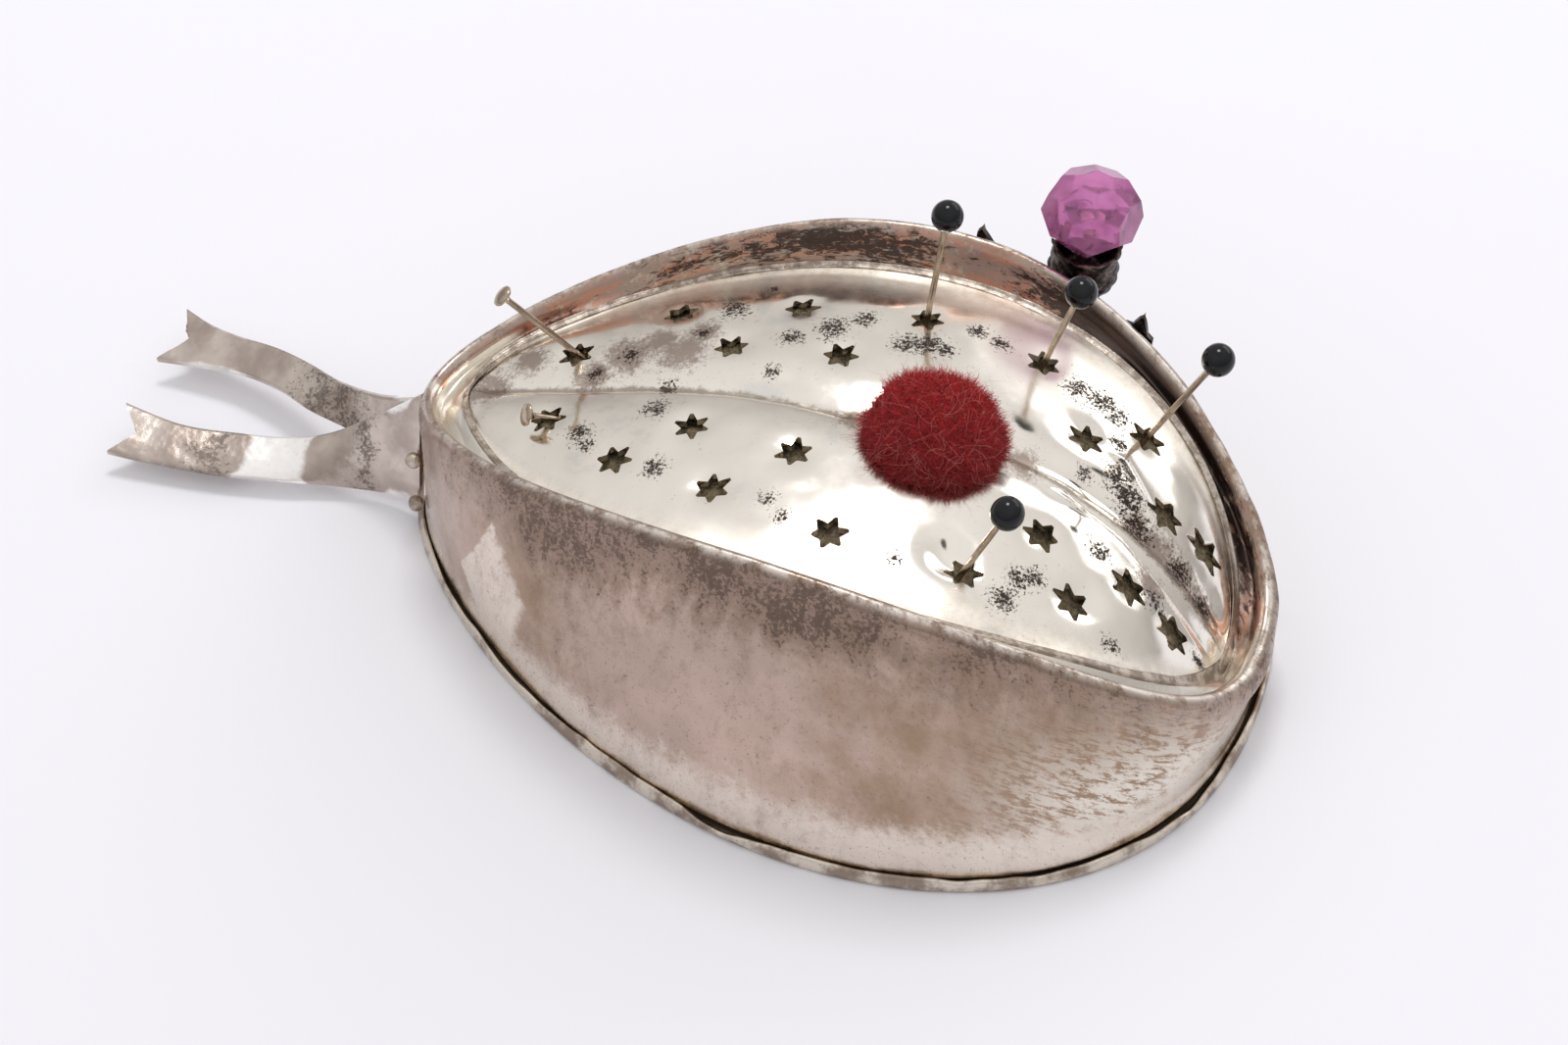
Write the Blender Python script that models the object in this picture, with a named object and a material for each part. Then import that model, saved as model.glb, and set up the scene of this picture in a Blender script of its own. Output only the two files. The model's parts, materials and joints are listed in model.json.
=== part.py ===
"""Silver-plated pincushion in the shape of a Scottish Glengarry cap.

The frame: metres, +Z up, the origin at the centre of the underside of the base plate.
+X points to the front of the cap, -X to the ribbons at its back, +Y to the cap's left,
where the thistle badge stands. Lengths below are in millimetres and MM turns them into metres.
"""

import math

import bmesh
import bpy
from mathutils import Matrix, Vector

MM = 0.001

# ---------------------------------------------------------------- driving dimensions, millimetres
GAP = 0.35                 # clearance between neighbouring solids
SHEET = 0.7                # thickness of the pressed sheet metal
AROUND = 64                # facets around the ovals

# Each oval is (centre x, half length, half width, power, change of power, widening, squareness).
BASE_OVAL = (0.0, 42.0, 30.3, 0.568, -0.105, 0.274, -0.009)
RIM_OVAL = (0.93, 40.62, 23.29, 0.460, -0.046, 0.151, -0.132)
CROWN_OVAL = (1.25, 37.25, 20.8, 0.581, -0.094, 0.097, 0.070)

RIM_MEAN_END = 13.4        # mean height of the rim's two ends
RIM_END_SLOPE = -3.85      # half the height difference between front end and back end
RIM_ARCH = 16.07           # rise of the rim between its ends
RIM_ARCH_SKEW = 4.34       # how far the rise leans to the front

CROWN_MEAN_END = 10.9      # the same four numbers for the crease of the crown
CROWN_END_SLOPE = -4.9
CROWN_ARCH = 6.8
CROWN_ARCH_SKEW = 11.2
CROWN_SKEW_EASE = -5.1     # eases the lean towards the middle
CROWN_SHOULDER = 8.8       # the steep rise close to both ends
CROWN_LOBE = 0.8           # height of the two lobes over the crease
CREASE_HALF_WIDTH = 3.2
CROWN_EDGE_FALL = 2.8      # fall from the lobes to the crown's edge
CROWN_EDGE_POWER = 2.6

LIP_HEIGHT = 1.6           # crimped edge of the base plate
LIP_WIDTH = 0.8
PLATE = 0.8                # thickness of the base plate
WALL_FOOT_INSET = 1.25     # from the base plate's edge to the foot of the wall
WALL_CURVE = 1.35          # how much the wall bulges on its way up
RIM_ROUND = 0.9            # the rim's roll stands this far outside the crest line

STAR_TIP = 1.75            # radius to a star hole's six points
STAR_NOTCH = 1.0           # radius to the corners between them
STARS = (                  # x and y of every star hole, left lobe first
    (-26.6, 4.4), (-18.5, 10.7), (-11.7, 5.9), (-7.2, 12.7), (-1.3, 6.5), (4.5, 14.2),
    (16.0, 13.6), (22.1, 7.0), (26.7, 11.6), (30.5, 4.9), (34.3, 5.5),
    (-25.9, -4.8), (-17.3, -9.9), (-11.5, -5.3), (-7.0, -12.3), (-1.2, -6.8), (4.8, -14.6),
    (17.0, -13.7), (21.9, -6.4), (26.2, -10.9), (30.0, -5.5), (34.3, -5.4),
)

TOORIE_X = 10.0            # centre of the wool ball on the crease
TOORIE_RADIUS = 7.2
TOORIE_HEIGHT = 6.0
STITCH_RADIUS = 0.5
WASHER_RADIUS = 2.4
WASHER_THICKNESS = 0.6

PIN_LENGTH = 26.0          # from the middle of the head to the point
PIN_RADIUS = 0.3
GLASS_HEAD_RADIUS = 1.55
FLAT_HEAD_RADIUS = 1.0
FLAT_HEAD_THICKNESS = 0.45
CHANNEL_RADIUS = 0.75      # the path each pin keeps open in the stuffing
# Each pin stands in a star hole (x, y) and leans from there to its head by (dx, dy, dz).
GLASS_PINS = (
    ((4.5, 14.2), (1.6, 0.0, 13.2)),
    ((16.0, 13.6), (3.1, 0.0, 9.8)),
    ((26.7, 11.6), (5.9, 0.0, 11.7)),
    ((17.0, -13.7), (3.7, 0.0, 8.5)),
)
FLAT_PINS = (
    ((-26.6, 4.4), (-6.3, -2.6, 7.9)),
    ((-25.9, -4.8), (-1.8, -1.5, 1.3)),
)

BADGE_FOOT = (15.2, 27.9, 21.4)      # underside of the thistle's cup
BADGE_TOP = (16.1, 27.7, 31.5)       # centre of the glass flower
CUP_HEIGHT = 6.4
CUP_MOUTH_RADIUS = 3.4
GLASS_RADIUS = 4.45
GLASS_SIDES = 8
PEG_RADIUS = 0.7
STEM_FOOT = (14.6, 30.5, 8.0)
STEM_RADIUS = 0.9
LEAF_SHEET = 0.7
LEAF_STANDOFF = 0.8
LEAF_TEETH = 3
# Each leaf runs in a curve from the stem, over a middle point, to its tip: (x, z).
LEAVES = {
    "leaf_rear": ((13.6, 12.0), (9.2, 17.5), (6.9, 28.6)),
    "leaf_front": ((16.8, 12.0), (21.4, 15.0), (22.9, 24.6)),
}
LEAF_HALF_WIDTH = 2.6

RIBBON_SHEET = 0.8
SWALLOW_NOTCH = 2.3
# Lower and upper edge of each ribbon, from the cap to the tail's end.
RIBBONS = {
    "ribbon_near": (
        ((-41.8, -1.5, 2.1), (-45.5, -1.0, 1.5), (-50.1, -1.7, 1.4), (-54.6, -3.2, 1.7),
         (-58.3, -4.1, 1.8), (-63.1, -4.9, 1.9), (-68.1, -5.4, 2.0), (-72.4, -5.7, 2.2)),
        ((-41.0, 0.0, 15.4), (-44.2, 0.9, 11.5), (-48.0, 1.3, 7.8), (-52.0, 1.2, 4.8),
         (-55.9, 0.6, 3.6), (-60.5, 0.0, 3.2), (-66.5, -0.8, 3.2), (-72.8, -0.2, 3.6)),
    ),
    "ribbon_far": (
        ((-41.9, 1.1, 3.4), (-46.8, 2.0, 5.0), (-51.0, 3.0, 4.7), (-55.3, 4.3, 4.4),
         (-59.5, 6.3, 4.0), (-64.3, 7.6, 3.4), (-68.6, 7.7, 2.9), (-73.2, 7.5, 2.5)),
        ((-41.4, 2.7, 12.6), (-46.2, 3.6, 9.8), (-52.4, 6.1, 7.4), (-56.8, 8.6, 6.2),
         (-61.1, 10.3, 5.3), (-65.7, 11.3, 4.6), (-69.2, 12.3, 4.1), (-72.7, 14.0, 3.6)),
    ),
}
SOLDER_BLOBS = {"solder_blob_upper": (-41.1, -2.4, 8.4), "solder_blob_lower": (-41.0, -2.8, 3.0)}
SOLDER_RADIUS = 0.8

# ---------------------------------------------------------------- materials: colour, roughness, metallic
MATERIALS = {
    "tarnished_silver": ((0.42, 0.35, 0.31), 0.38, 1.0),
    "bright_silver": ((0.80, 0.77, 0.72), 0.22, 1.0),
    "solder": ((0.45, 0.45, 0.44), 0.45, 1.0),
    "red_felt": ((0.28, 0.015, 0.02), 1.0, 0.0),
    "wool_stuffing": ((0.16, 0.12, 0.07), 1.0, 0.0),
    "thread": ((0.30, 0.02, 0.02), 0.9, 0.0),
    "pin_steel": ((0.62, 0.56, 0.47), 0.25, 1.0),
    "black_glass": ((0.01, 0.01, 0.012), 0.08, 0.0),
    "amethyst_glass": ((0.45, 0.10, 0.36), 0.03, 0.0),
    "dark_metal": ((0.06, 0.045, 0.04), 0.5, 1.0),
}


def make_material(name):
    colour, roughness, metallic = MATERIALS[name]
    made = bpy.data.materials.get(name) or bpy.data.materials.new(name)
    made.use_nodes = True
    shader = made.node_tree.nodes["Principled BSDF"]
    shader.inputs["Base Color"].default_value = (*colour, 1.0)
    shader.inputs["Roughness"].default_value = roughness
    shader.inputs["Metallic"].default_value = metallic
    made.diffuse_color = (*colour, 1.0)
    return made


# ---------------------------------------------------------------- mesh helpers
def finish_object(name, mesh_builder, material, sharp_angle=40.0):
    """Turns a bmesh in millimetres into a named object in metres."""
    bmesh.ops.recalc_face_normals(mesh_builder, faces=mesh_builder.faces)
    bmesh.ops.scale(mesh_builder, vec=(MM, MM, MM), verts=mesh_builder.verts)
    mesh = bpy.data.meshes.new(name)
    mesh_builder.to_mesh(mesh)
    mesh_builder.free()
    mesh.shade_smooth()
    mesh.set_sharp_from_angle(angle=math.radians(sharp_angle))
    made = bpy.data.objects.new(name, mesh)
    made.data.materials.append(make_material(material))
    bpy.context.scene.collection.objects.link(made)
    return made


def add_loft(builder, rings, closed_section=False):
    """Skins rings of equal length; the ends are capped unless the section closes on itself."""
    verts = [[builder.verts.new(point) for point in ring] for ring in rings]
    count = len(rings[0])
    pairs = list(zip(verts, verts[1:]))
    if closed_section:
        pairs.append((verts[-1], verts[0]))
    for low, high in pairs:
        for i in range(count):
            j = (i + 1) % count
            builder.faces.new((low[i], low[j], high[j], high[i]))
    if not closed_section:
        builder.faces.new(list(reversed(verts[0])))
        builder.faces.new(verts[-1])


def add_slab(builder, front, back):
    """Closes two grids of equal size into one body, joined along their four borders."""
    grids = []
    for grid in (front, back):
        grids.append([[builder.verts.new(point) for point in row] for row in grid])
    rows = len(front)
    columns = len(front[0])
    for index, grid in enumerate(grids):
        for i in range(rows - 1):
            for j in range(columns - 1):
                face = [grid[i][j], grid[i][j + 1], grid[i + 1][j + 1], grid[i + 1][j]]
                builder.faces.new(face if index == 0 else face[::-1])
    border = [(0, j) for j in range(columns)]
    border += [(i, columns - 1) for i in range(1, rows)]
    border += [(rows - 1, j) for j in range(columns - 2, -1, -1)]
    border += [(i, 0) for i in range(rows - 2, 0, -1)]
    for (i, j), (k, m) in zip(border, border[1:] + border[:1]):
        builder.faces.new((grids[0][i][j], grids[1][i][j], grids[1][k][m], grids[0][k][m]))


def add_turned(builder, profile, sides, frame=Matrix.Identity(4)):
    """Turns a profile of (radius, height) about Z; its first and last radius are zero."""
    low_tip = builder.verts.new(frame @ Vector((0, 0, profile[0][1])))
    high_tip = builder.verts.new(frame @ Vector((0, 0, profile[-1][1])))
    rings = []
    for radius, height in profile[1:-1]:
        ring = []
        for step in range(sides):
            angle = math.tau * step / sides
            point = Vector((radius * math.cos(angle), radius * math.sin(angle), height))
            ring.append(builder.verts.new(frame @ point))
        rings.append(ring)
    for low, high in zip(rings, rings[1:]):
        for i in range(sides):
            j = (i + 1) % sides
            builder.faces.new((low[i], low[j], high[j], high[i]))
    for i in range(sides):
        j = (i + 1) % sides
        builder.faces.new((low_tip, rings[0][j], rings[0][i]))
        builder.faces.new((high_tip, rings[-1][i], rings[-1][j]))


def turned_object(name, profile, sides, material, sharp_angle=40.0):
    builder = bmesh.new()
    add_turned(builder, profile, sides)
    return finish_object(name, builder, material, sharp_angle)


def frame_along(start, direction):
    """A frame at start whose +Z runs along direction."""
    turn = Vector((0, 0, 1)).rotation_difference(Vector(direction).normalized())
    return Matrix.Translation(Vector(start)) @ turn.to_matrix().to_4x4()


def place(made, start, direction, parent=None):
    frame = frame_along(Vector(start) * MM, direction)
    if parent is None:
        made.matrix_world = frame
    else:
        made.parent = parent
    return made


def cut(body, cutter):
    cutter.hide_render = True
    cutter.display_type = "WIRE"
    modifier = body.modifiers.new("cut_" + cutter.name, "BOOLEAN")
    modifier.operation = "DIFFERENCE"
    modifier.solver = "EXACT"
    modifier.object = cutter


# ---------------------------------------------------------------- the cap's surfaces
def oval_point(oval, angle, inset=0.0):
    """A point of an oval that is blunt at the front and pointed at the back."""
    centre, half_length, half_width, power, power_change, widening, squareness = oval
    u = math.cos(angle)
    reach = abs(math.sin(angle)) ** (2.0 * (power + power_change * u))
    swell = 1.0 + widening * u + squareness * u * u
    y = (half_width - inset) * reach * swell
    return centre + (half_length - inset) * u, math.copysign(y, math.sin(angle))


def oval_half_width(oval, x, inset=0.0):
    centre, half_length = oval[:2]
    u = max(-1.0, min(1.0, (x - centre) / (half_length - inset)))
    return abs(oval_point(oval, math.acos(u), inset)[1])


def rim_height(u):
    arch = 1.0 - u * u
    return RIM_MEAN_END + RIM_END_SLOPE * u + RIM_ARCH * arch + RIM_ARCH_SKEW * u * arch


def crown_height(x, y):
    """Top of the crown: a long arch with a shallow crease between two lobes."""
    u = max(-1.0, min(1.0, (x - CROWN_OVAL[0]) / CROWN_OVAL[1]))
    arch = 1.0 - u * u
    crease = CROWN_MEAN_END + CROWN_END_SLOPE * u + CROWN_ARCH * arch
    crease += (CROWN_ARCH_SKEW + CROWN_SKEW_EASE * arch) * u * arch + CROWN_SHOULDER * math.sqrt(arch)
    lobe = CROWN_LOBE * (1.0 - math.exp(-((y / CREASE_HALF_WIDTH) ** 2)))
    across = min(1.0, abs(y) / max(oval_half_width(CROWN_OVAL, x), 0.5))
    return crease + lobe - CROWN_EDGE_FALL * math.sqrt(arch) * across ** CROWN_EDGE_POWER


def wall_point(angle, rise, inset=0.0):
    """A point on the wall's outer face, from its foot (rise 0) to below the rim (rise 1)."""
    foot = oval_point(BASE_OVAL, angle, WALL_FOOT_INSET + inset)
    top = oval_point(RIM_OVAL, angle, inset - RIM_ROUND)
    blend = rise ** WALL_CURVE
    low = PLATE + GAP
    high = rim_height(math.cos(angle)) - 2.2
    x = foot[0] + (top[0] - foot[0]) * blend
    y = foot[1] + (top[1] - foot[1]) * blend
    return Vector((x, y, low + (high - low) * rise))


def wall_half_width(x, z):
    """Half width of the wall's outer face at one height."""
    u = max(-1.0, min(1.0, (x - RIM_OVAL[0]) / RIM_OVAL[1]))
    low = PLATE + GAP
    rise = max(0.0, min(1.0, (z - low) / (rim_height(u) - 2.2 - low)))
    foot = oval_half_width(BASE_OVAL, x, WALL_FOOT_INSET)
    top = oval_half_width(RIM_OVAL, x, -RIM_ROUND)
    return foot + (top - foot) * rise ** WALL_CURVE


def ring_angles():
    return [math.tau * step / AROUND for step in range(AROUND)]


def oval_ring(oval, inset, height):
    """height is a number, or a function of the angle."""
    ring = []
    for angle in ring_angles():
        x, y = oval_point(oval, angle, inset)
        z = height(angle) if callable(height) else height
        ring.append(Vector((x, y, z)))
    return ring


def rim_ring(inset, drop):
    return oval_ring(RIM_OVAL, inset, lambda angle: rim_height(math.cos(angle)) - drop)


def crown_edge_ring(inset, drop):
    """A ring along the crown's edge, below the crown's surface by drop."""
    def height(angle):
        return crown_height(*oval_point(CROWN_OVAL, angle, inset)) - drop
    return oval_ring(CROWN_OVAL, inset, height)


def crown_grid(rows, columns, inset, drop):
    """Rows of points across the crown, from its back to its front."""
    centre, half_length = CROWN_OVAL[:2]
    grid = []
    for i in range(rows + 1):
        angle = math.radians(172.0 - 164.0 * i / rows)
        x, half_width = oval_point(CROWN_OVAL, angle, inset)
        row = []
        for j in range(columns + 1):
            y = half_width * (2.0 * j / columns - 1.0)
            row.append(Vector((x, y, crown_height(x, y) - drop)))
        grid.append(row)
    return grid


# ---------------------------------------------------------------- the cap
def build_base_plate():
    profile = (
        (LIP_WIDTH, PLATE), (LIP_WIDTH, LIP_HEIGHT - 0.35), (0.4, LIP_HEIGHT), (0.0, LIP_HEIGHT - 0.4),
        (0.0, 0.45), (0.4, 0.0),
    )
    builder = bmesh.new()
    add_loft(builder, [oval_ring(BASE_OVAL, inset, height) for inset, height in profile])
    return finish_object("base_plate", builder, "tarnished_silver")


def build_side_wall():
    """Wall, rolled rim and the flange that hangs down inside to hold the crown."""
    rises = (0.0, 0.3, 0.65, 1.0)
    outer = [[wall_point(angle, rise) for angle in ring_angles()] for rise in rises]
    inner = [[wall_point(angle, rise, SHEET) for angle in ring_angles()] for rise in reversed(rises)]
    roll = (
        rim_ring(-0.75, 0.9), rim_ring(-0.25, 0.2), rim_ring(0.3, 0.0), rim_ring(0.95, 0.5),
        rim_ring(1.45, 1.6), crown_edge_ring(-GAP, -0.1), crown_edge_ring(-GAP, SHEET + 0.6),
    )
    under = (
        crown_edge_ring(-GAP - SHEET, SHEET + 0.6), crown_edge_ring(-GAP - SHEET, 0.0),
        rim_ring(0.75, 1.9), rim_ring(0.2, 0.85),
    )
    builder = bmesh.new()
    add_loft(builder, [*outer, *roll, *under, *inner], closed_section=True)
    return finish_object("side_wall", builder, "tarnished_silver", 60.0)


def build_crown():
    builder = bmesh.new()
    add_slab(builder, crown_grid(30, 12, 0.0, 0.0), crown_grid(30, 12, 0.0, SHEET))
    crown = finish_object("crown", builder, "bright_silver", 60.0)
    cutters = bmesh.new()
    for x, y in STARS:
        add_star(cutters, x, y, crown_height(x, y))
    add_disc(cutters, TOORIE_X, 0.0, STITCH_RADIUS + GAP, crown_height(TOORIE_X, 0.0))
    cut(crown, finish_object("crown_punch", cutters, "solder"))
    return crown


def add_star(builder, x, y, z):
    outline = []
    for corner in range(12):
        radius = STAR_TIP if corner % 2 == 0 else STAR_NOTCH
        angle = math.tau * corner / 12 + math.radians(15.0)
        outline.append((x + radius * math.cos(angle), y + radius * math.sin(angle)))
    add_loft(builder, [[Vector((px, py, z + dz)) for px, py in outline] for dz in (-3.0, 3.0)])


def add_disc(builder, x, y, radius, z):
    angles = [math.tau * step / 10 for step in range(10)]
    outline = [(x + radius * math.cos(a), y + radius * math.sin(a)) for a in angles]
    add_loft(builder, [[Vector((px, py, z + dz)) for px, py in outline] for dz in (-3.0, 3.0)])


def build_crown_solder():
    """The bead of solder in the corner between flange and crown."""
    section = (
        crown_edge_ring(0.0, -0.4), crown_edge_ring(0.0, -0.9), crown_edge_ring(0.5, -0.4),
    )
    builder = bmesh.new()
    add_loft(builder, section, closed_section=True)
    return finish_object("crown_solder", builder, "solder", 60.0)


def build_stuffing(pins):
    """Wool packed under the crown, with a path for each pin and a pocket for the washer."""
    top = crown_grid(20, 8, 1.4, SHEET + GAP)
    bottom = []
    for i in range(21):
        angle = math.radians(172.0 - 164.0 * i / 20)
        x, half_width = oval_point(BASE_OVAL, angle, 3.2)
        bottom.append([Vector((x, half_width * (2.0 * j / 8 - 1.0), PLATE + GAP)) for j in range(9)])
    builder = bmesh.new()
    add_slab(builder, top, bottom)
    stuffing = finish_object("stuffing", builder, "wool_stuffing", 60.0)
    cutters = bmesh.new()
    for entry, direction in pins:
        depth = pin_depth(entry, direction) + 0.8
        profile = ((0.0, -depth), (CHANNEL_RADIUS, -depth), (CHANNEL_RADIUS, 2.0), (0.0, 2.0))
        add_turned(cutters, profile, 6, frame_along(entry, direction))
    pocket = WASHER_RADIUS + 0.8
    floor = crown_height(TOORIE_X, 0.0) - 4.6
    profile = ((0.0, floor), (pocket, floor), (pocket, floor + 5.0), (0.0, floor + 5.0))
    add_turned(cutters, profile, 12, Matrix.Translation(Vector((TOORIE_X, 0.0, 0.0))))
    cut(stuffing, finish_object("stuffing_paths", cutters, "solder"))
    return stuffing


# ---------------------------------------------------------------- the toorie
def toorie_tilt():
    """Direction that stands square on the crown under the toorie."""
    rise = crown_height(TOORIE_X + 5.0, 0.0) - crown_height(TOORIE_X - 5.0, 0.0)
    return Vector((-rise / 10.0, 0.0, 1.0)).normalized()


def build_toorie():
    up = toorie_tilt()
    crease = Vector((TOORIE_X, 0.0, crown_height(TOORIE_X, 0.0)))
    shape = ((0.0, 0.0), (0.5, 0.0), (0.93, 0.0), (1.0, 0.16), (0.96, 0.4), (0.84, 0.64), (0.62, 0.84),
             (0.34, 0.96), (0.0, 1.0))
    profile = [(TOORIE_RADIUS * radius, TOORIE_HEIGHT * height) for radius, height in shape]
    toorie = place(turned_object("toorie", profile, 20, "red_felt", 60.0), crease + up * GAP, up)
    # The underside is moulded to the crown's two lobes.
    for vertex in toorie.data.vertices:
        spot = toorie.matrix_world @ vertex.co / MM
        clear = crown_height(spot.x, spot.y) + GAP
        if spot.z < clear:
            vertex.co += toorie.matrix_world.to_3x3().inverted() @ Vector((0.0, 0.0, (clear - spot.z) * MM))

    knot_top = -SHEET - 2.0 * GAP - WASHER_THICKNESS
    profile = (
        (0.0, knot_top - 1.0), (0.8, knot_top - 0.9), (1.1, knot_top - 0.4), (0.8, knot_top - GAP),
        (STITCH_RADIUS, knot_top - GAP + 0.05), (STITCH_RADIUS, -0.05), (0.0, 0.0),
    )
    place(turned_object("toorie_stitch", profile, 8, "thread"), crease, up)

    top = -SHEET - GAP
    ring = ((STITCH_RADIUS + GAP, top), (WASHER_RADIUS, top),
            (WASHER_RADIUS, top - WASHER_THICKNESS), (STITCH_RADIUS + GAP, top - WASHER_THICKNESS))
    builder = bmesh.new()
    rings = []
    for radius, height in ring:
        angles = [math.tau * step / 12 for step in range(12)]
        rings.append([Vector((radius * math.cos(a), radius * math.sin(a), height)) for a in angles])
    add_loft(builder, rings, closed_section=True)
    place(finish_object("toorie_washer", builder, "dark_metal"), crease, up)


# ---------------------------------------------------------------- the pins
def pin_entry(hole):
    return Vector((hole[0], hole[1], crown_height(*hole)))


def pin_depth(entry, direction):
    """How deep the point can go: the head stops short of the crown, the point of the plate."""
    over_plate = (entry.z - PLATE - 1.5) * direction.length / direction.z
    return min(PIN_LENGTH - GLASS_HEAD_RADIUS - 1.2, over_plate)


def pin_empty(name, entry, direction):
    """An empty in the star hole whose +Z is the line that the pin slides on."""
    empty = bpy.data.objects.new(name, None)
    empty.matrix_world = frame_along(entry * MM, direction)
    bpy.context.scene.collection.objects.link(empty)
    return empty


def build_pins():
    pins = []
    for number, (hole, lean) in enumerate(GLASS_PINS, start=1):
        entry = pin_entry(hole)
        direction = Vector(lean)
        pins.append((entry, direction))
        empty = pin_empty("pin_%d_axis" % number, entry, direction)
        middle = direction.length
        bore = PIN_RADIUS + GAP
        mouth = math.sqrt(GLASS_HEAD_RADIUS ** 2 - bore ** 2)
        head = [(0.0, middle + 0.3), (bore, middle + 0.3), (bore, middle - mouth)]
        for step in range(1, 6):
            angle = math.radians(-90.0) + math.asin(bore / GLASS_HEAD_RADIUS)
            angle += (math.radians(90.0) - angle) * step / 6
            head.append((GLASS_HEAD_RADIUS * math.cos(angle), middle + GLASS_HEAD_RADIUS * math.sin(angle)))
        head.append((0.0, middle + GLASS_HEAD_RADIUS))
        made = turned_object("glass_head_%d" % number, head, 10, "black_glass", 60.0)
        made.parent = empty
        tip = middle - PIN_LENGTH
        shaft = ((0.0, tip), (PIN_RADIUS, tip + 3.0), (PIN_RADIUS, middle - 0.05), (0.0, middle - 0.05))
        made = turned_object("pin_shaft_%d" % number, shaft, 6, "pin_steel")
        made.parent = empty
    for number, (hole, lean) in enumerate(FLAT_PINS, start=1):
        entry = pin_entry(hole)
        direction = Vector(lean)
        pins.append((entry, direction))
        empty = pin_empty("flat_pin_%d_axis" % number, entry, direction)
        top = direction.length
        tip = top - PIN_LENGTH
        profile = (
            (0.0, tip), (PIN_RADIUS, tip + 3.0), (PIN_RADIUS, top - FLAT_HEAD_THICKNESS - 0.4),
            (FLAT_HEAD_RADIUS, top - FLAT_HEAD_THICKNESS), (FLAT_HEAD_RADIUS, top - 0.1), (0.0, top),
        )
        made = turned_object("flat_pin_%d" % number, profile, 8, "pin_steel")
        made.parent = empty
    return pins


# ---------------------------------------------------------------- the thistle badge
def build_thistle():
    up = Vector(BADGE_TOP) - Vector(BADGE_FOOT)
    mouth = CUP_MOUTH_RADIUS
    floor = 2.2
    cup = (
        (0.0, 0.0), (1.3, 0.1), (2.7, 1.0), (3.5, 2.6), (3.3, 4.4), (mouth * 0.92, 5.3), (mouth, CUP_HEIGHT),
        (mouth - 0.6, CUP_HEIGHT), (mouth - 0.9, 5.0), (2.3, floor), (0.0, floor),
    )
    place(turned_object("thistle_calyx", cup, 14, "dark_metal", 50.0), BADGE_FOOT, up)

    middle = up.length
    bore = PEG_RADIUS + GAP
    bottom = middle - GLASS_RADIUS
    glass = [(0.0, middle - 0.8), (bore, middle - 0.8), (bore, bottom - 0.9), (1.6, bottom - 0.9), (1.9, bottom + 0.3)]
    for height in (-0.62, -0.2, 0.22, 0.62):
        glass.append((GLASS_RADIUS * math.sqrt(1.0 - height * height), middle + GLASS_RADIUS * height))
    glass += [(GLASS_RADIUS * 0.42, middle + GLASS_RADIUS * 0.93), (0.0, middle + GLASS_RADIUS * 0.93)]
    place(turned_object("thistle_glass", glass, GLASS_SIDES, "amethyst_glass", 5.0), BADGE_FOOT, up)

    peg_low = floor + GAP
    peg_high = middle - 0.8 - GAP
    peg = ((0.0, peg_low), (PEG_RADIUS, peg_low), (PEG_RADIUS, peg_high), (0.0, peg_high))
    place(turned_object("glass_peg", peg, 8, "solder"), BADGE_FOOT, up)

    builder = bmesh.new()
    rings = []
    foot = Vector(STEM_FOOT)
    top = Vector(BADGE_FOOT) - Vector((0.0, 0.0, GAP))
    for step in range(6):
        along = step / 5
        middle_point = foot.lerp(top, along)
        middle_point.y += 0.5 * math.sin(math.pi * along)
        radius = STEM_RADIUS * (0.65 + 0.35 * along)
        ring = []
        for side in range(8):
            angle = math.tau * side / 8
            ring.append(middle_point + Vector((radius * math.cos(angle), radius * math.sin(angle), 0.0)))
        rings.append(ring)
    add_loft(builder, rings)
    finish_object("thistle_stem", builder, "dark_metal")

    for name, (root, middle_xz, tip) in LEAVES.items():
        build_leaf(name, root, middle_xz, tip)


def build_leaf(name, root, middle, tip, rows=14):
    """A toothed leaf that follows the wall at a small distance."""
    front = []
    back = []
    for i in range(rows + 1):
        along = i / rows
        keep = (1 - along) ** 2, 2 * along * (1 - along), along ** 2
        x = keep[0] * root[0] + keep[1] * middle[0] + keep[2] * tip[0]
        z = keep[0] * root[1] + keep[1] * middle[1] + keep[2] * tip[1]
        dx = 2 * (1 - along) * (middle[0] - root[0]) + 2 * along * (tip[0] - middle[0])
        dz = 2 * (1 - along) * (middle[1] - root[1]) + 2 * along * (tip[1] - middle[1])
        length = math.hypot(dx, dz)
        tooth = 1.0 - 0.45 * ((along * LEAF_TEETH) % 1.0)
        half_width = max(0.25, LEAF_HALF_WIDTH * math.sin(math.pi * min(0.97, along * 0.85 + 0.12)) * tooth)
        front_row = []
        back_row = []
        for j in range(3):
            side = j - 1
            px = x - dz / length * half_width * side
            pz = z + dx / length * half_width * side
            y = wall_half_width(px, pz) + LEAF_STANDOFF + 0.5 * (1 - abs(side)) * along
            back_row.append(Vector((px, y, pz)))
            front_row.append(Vector((px, y + LEAF_SHEET, pz)))
        front.append(front_row)
        back.append(back_row)
    builder = bmesh.new()
    add_slab(builder, front, back)
    finish_object(name, builder, "dark_metal", 30.0)


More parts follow.
